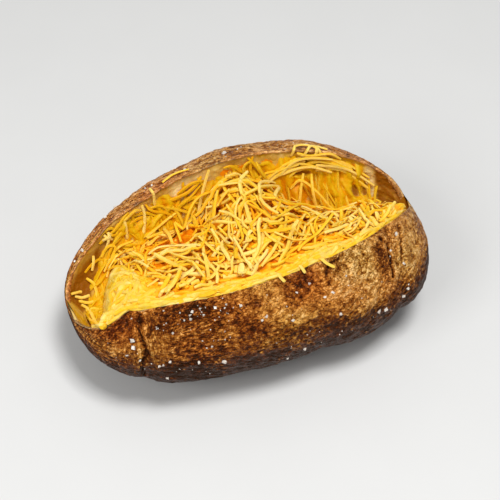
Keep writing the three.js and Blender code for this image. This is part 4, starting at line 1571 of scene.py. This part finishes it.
class MakeSalt(bpy.types.Operator):
    """Makes the grains of coarse salt on the skin"""

    bl_idname = "potato.salt"
    bl_label = "Salt"

    def execute(self, context):
        sizes = context.scene.potato_salt
        self.random = np.random.default_rng(11)
        self.vertices = []
        self.coarse()
        for x, s, grains, width in SALT_CLUSTERS:
            for _ in range(grains):
                off_x, off_s = self.random.normal(0, width), self.random.normal(0, width)
                self.strewn(x + off_x, s + off_s, sizes)
        for _ in range(sizes.grains):
            x = lerp(SALT_FROM, SALT_TO, self.random.random() ** 1.9)
            s = SALT_DOWN * self.random.random() ** 1.3
            if self.random.random() < SALT_ON_FAR_HALF:
                s = -SALT_BEYOND * s / SALT_DOWN
            self.strewn(x, s, sizes)
        piece = joined_mesh("salt", self.vertices, [BOX_FACES] * len(self.vertices))
        finished(piece, "salt", salt_material(), "potato")
        return {"FINISHED"}

    def coarse(self):
        numbers = salt_numbers()
        for _ in range(COARSE_GRAINS):
            t = lerp(-0.85, 0.8, next(numbers) ** 1.5)
            on_far_half = next(numbers) < SALT_ON_FAR_HALF
            down = next(numbers) ** 1.5
            far = far_lip_angle(t) - 0.1 - 0.5 * down
            near = near_lip_angle(t) + 0.1 + 1.1 * down
            size = lerp(*COARSE_SIZE, next(numbers))
            shape = BOX * size * (1, lerp(0.6, 1, next(numbers)), lerp(0.6, 1, next(numbers)))
            shape = shape @ turn_about(0, math.pi * next(numbers)).T
            shape = shape @ turn_about(2, math.pi * next(numbers)).T
            chipped = shape + self.random.normal(0, 0.13 * size, (8, 3))
            self.vertices.append(0.85 * chipped + skin_point(t, far if on_far_half else near))

    def strewn(self, x, s, sizes):
        """A finer grain at x and s below the near edge, or beyond the far one where s is below 0."""
        t = np.clip(x * 2 / LENGTH, -0.93, 0.93)
        angle = (near_lip_angle(t) if s > 0 else far_lip_angle(t)) + s / FAR_WIDTH
        size = lerp(sizes.smallest, sizes.largest, self.random.random() ** 2.2) / MM
        shape = BOX * size * self.random.uniform(0.55, 1, 3)
        shape = shape + self.random.normal(0, 0.1 * size, (8, 3))
        self.vertices.append(shape @ random_turn(self.random) + skin_point(t, angle))


def turn_about(axis, angle):
    turn = np.eye(3)
    a, b = (1, 2) if axis == 0 else (0, 1)
    turn[a, a] = turn[b, b] = math.cos(angle)
    turn[a, b], turn[b, a] = -math.sin(angle), math.sin(angle)
    return turn


def random_turn(random):
    matrix, _ = np.linalg.qr(random.normal(size=(3, 3)))
    return matrix * np.sign(np.linalg.det(matrix))


# ---- Floor, lights and camera ----

CAMERA_AZIMUTH, CAMERA_ELEVATION = math.radians(-22), math.radians(50)
CAMERA_DISTANCE = 519.0
AIM = np.array([0.0, MIDDLE_SHIFT, 28.0])
AIM_RIGHT, AIM_UP = 2.7, 3.1
# Where the lights stand and how wide they are, in metres, and how strong the light of the room is.
KEY_PLACE, KEY_WIDTH = (0.08, -0.22, 0.93), 0.25
FILL_PLACE, FILL_WIDTH = (-0.62, -0.28, 0.6), 0.45
ROOM_LIGHT = 0.31
FLOOR_WIDTH, FLOOR_CELLS = 6, 20


class MakeStage(bpy.types.Operator):
    """Makes the floor, the lights and the camera"""

    bl_idname = "potato.stage"
    bl_label = "Stage"

    def execute(self, context):
        scene = context.scene
        settings = scene.potato_stage
        bpy.ops.object.select_all(action="DESELECT")
        bpy.ops.mesh.primitive_grid_add(
            x_subdivisions=FLOOR_CELLS, y_subdivisions=FLOOR_CELLS, size=FLOOR_WIDTH
        )
        floor = context.object
        floor.name = "floor"
        floor.data.materials.append(floor_material(tuple(settings.floor_colour)))
        self.light("key_light", KEY_PLACE, KEY_WIDTH, settings.key_power)
        self.light("fill_light", FILL_PLACE, FILL_WIDTH, settings.fill_power)
        world = bpy.data.worlds.new("soft_room")
        scene.world = world
        world.use_nodes = True
        background = world.node_tree.nodes["Background"].inputs
        background["Color"].default_value = (1, 1, 1, 1)
        background["Strength"].default_value = ROOM_LIGHT
        self.camera(scene, settings)
        scene.view_settings.view_transform = "Standard"
        return {"FINISHED"}

    def light(self, name, place, size, power):
        light = bpy.data.lights.new(name, "AREA")
        light.size = size
        light.energy = power
        lamp = bpy.data.objects.new(name, light)
        bpy.context.collection.objects.link(lamp)
        lamp.location = place
        lamp.rotation_euler = (-Vector(place)).to_track_quat("-Z", "Y").to_euler()

    def camera(self, scene, settings):
        back = Vector((
            math.sin(CAMERA_AZIMUTH) * math.cos(CAMERA_ELEVATION),
            -math.cos(CAMERA_AZIMUTH) * math.cos(CAMERA_ELEVATION),
            math.sin(CAMERA_ELEVATION),
        ))
        right = Vector((math.cos(CAMERA_AZIMUTH), math.sin(CAMERA_AZIMUTH), 0))
        up = back.cross(right)
        aim = Vector(AIM) + right * AIM_RIGHT + up * AIM_UP
        camera = bpy.data.objects.new("camera", bpy.data.cameras.new("camera"))
        bpy.context.collection.objects.link(camera)
        camera.data.lens = settings.lens
        camera.location = (aim + back * CAMERA_DISTANCE) * MM
        camera.rotation_euler = (-back).to_track_quat("-Z", "Y").to_euler()
        camera.data.clip_start = 0.01
        scene.camera = camera


class PotatoPanel(bpy.types.Panel):
    """The pieces of the baked potato"""

    bl_idname = "VIEW3D_PT_potato"
    bl_label = "Baked potato"
    bl_space_type = "VIEW_3D"
    bl_region_type = "UI"
    bl_category = "Potato"

    def draw(self, context):
        for operator in OPERATORS:
            self.layout.operator(operator.bl_idname)
        for name in GROUPS:
            group = getattr(context.scene, name)
            box = self.layout.box()
            for key in group.bl_rna.properties.keys():
                if key not in ("rna_type", "name"):
                    box.prop(group, key)


OPERATORS = (MakeStage, MakeSkin, MakeFlesh, MakeCheese, MakeLongShreds, MakeSalt)
GROUPS = {
    "potato_colours": PotatoColours,
    "potato_skin": SkinSizes,
    "potato_cheese": CheeseSizes,
    "potato_salt": SaltSizes,
    "potato_stage": StageSettings,
}


def register():
    for group in GROUPS.values():
        bpy.utils.register_class(group)
    for name, group in GROUPS.items():
        setattr(bpy.types.Scene, name, bpy.props.PointerProperty(type=group))
    for item in (*OPERATORS, PotatoPanel):
        bpy.utils.register_class(item)


def unregister():
    for item in (PotatoPanel, *reversed(OPERATORS)):
        bpy.utils.unregister_class(item)
    for name, group in GROUPS.items():
        delattr(bpy.types.Scene, name)
        bpy.utils.unregister_class(group)


def main():
    register()
    bpy.ops.potato.stage()
    bpy.ops.potato.skin()
    bpy.ops.potato.flesh()
    bpy.ops.potato.cheese()
    bpy.ops.potato.long_shreds()
    bpy.ops.potato.salt()


if __name__ == "__main__":
    main()
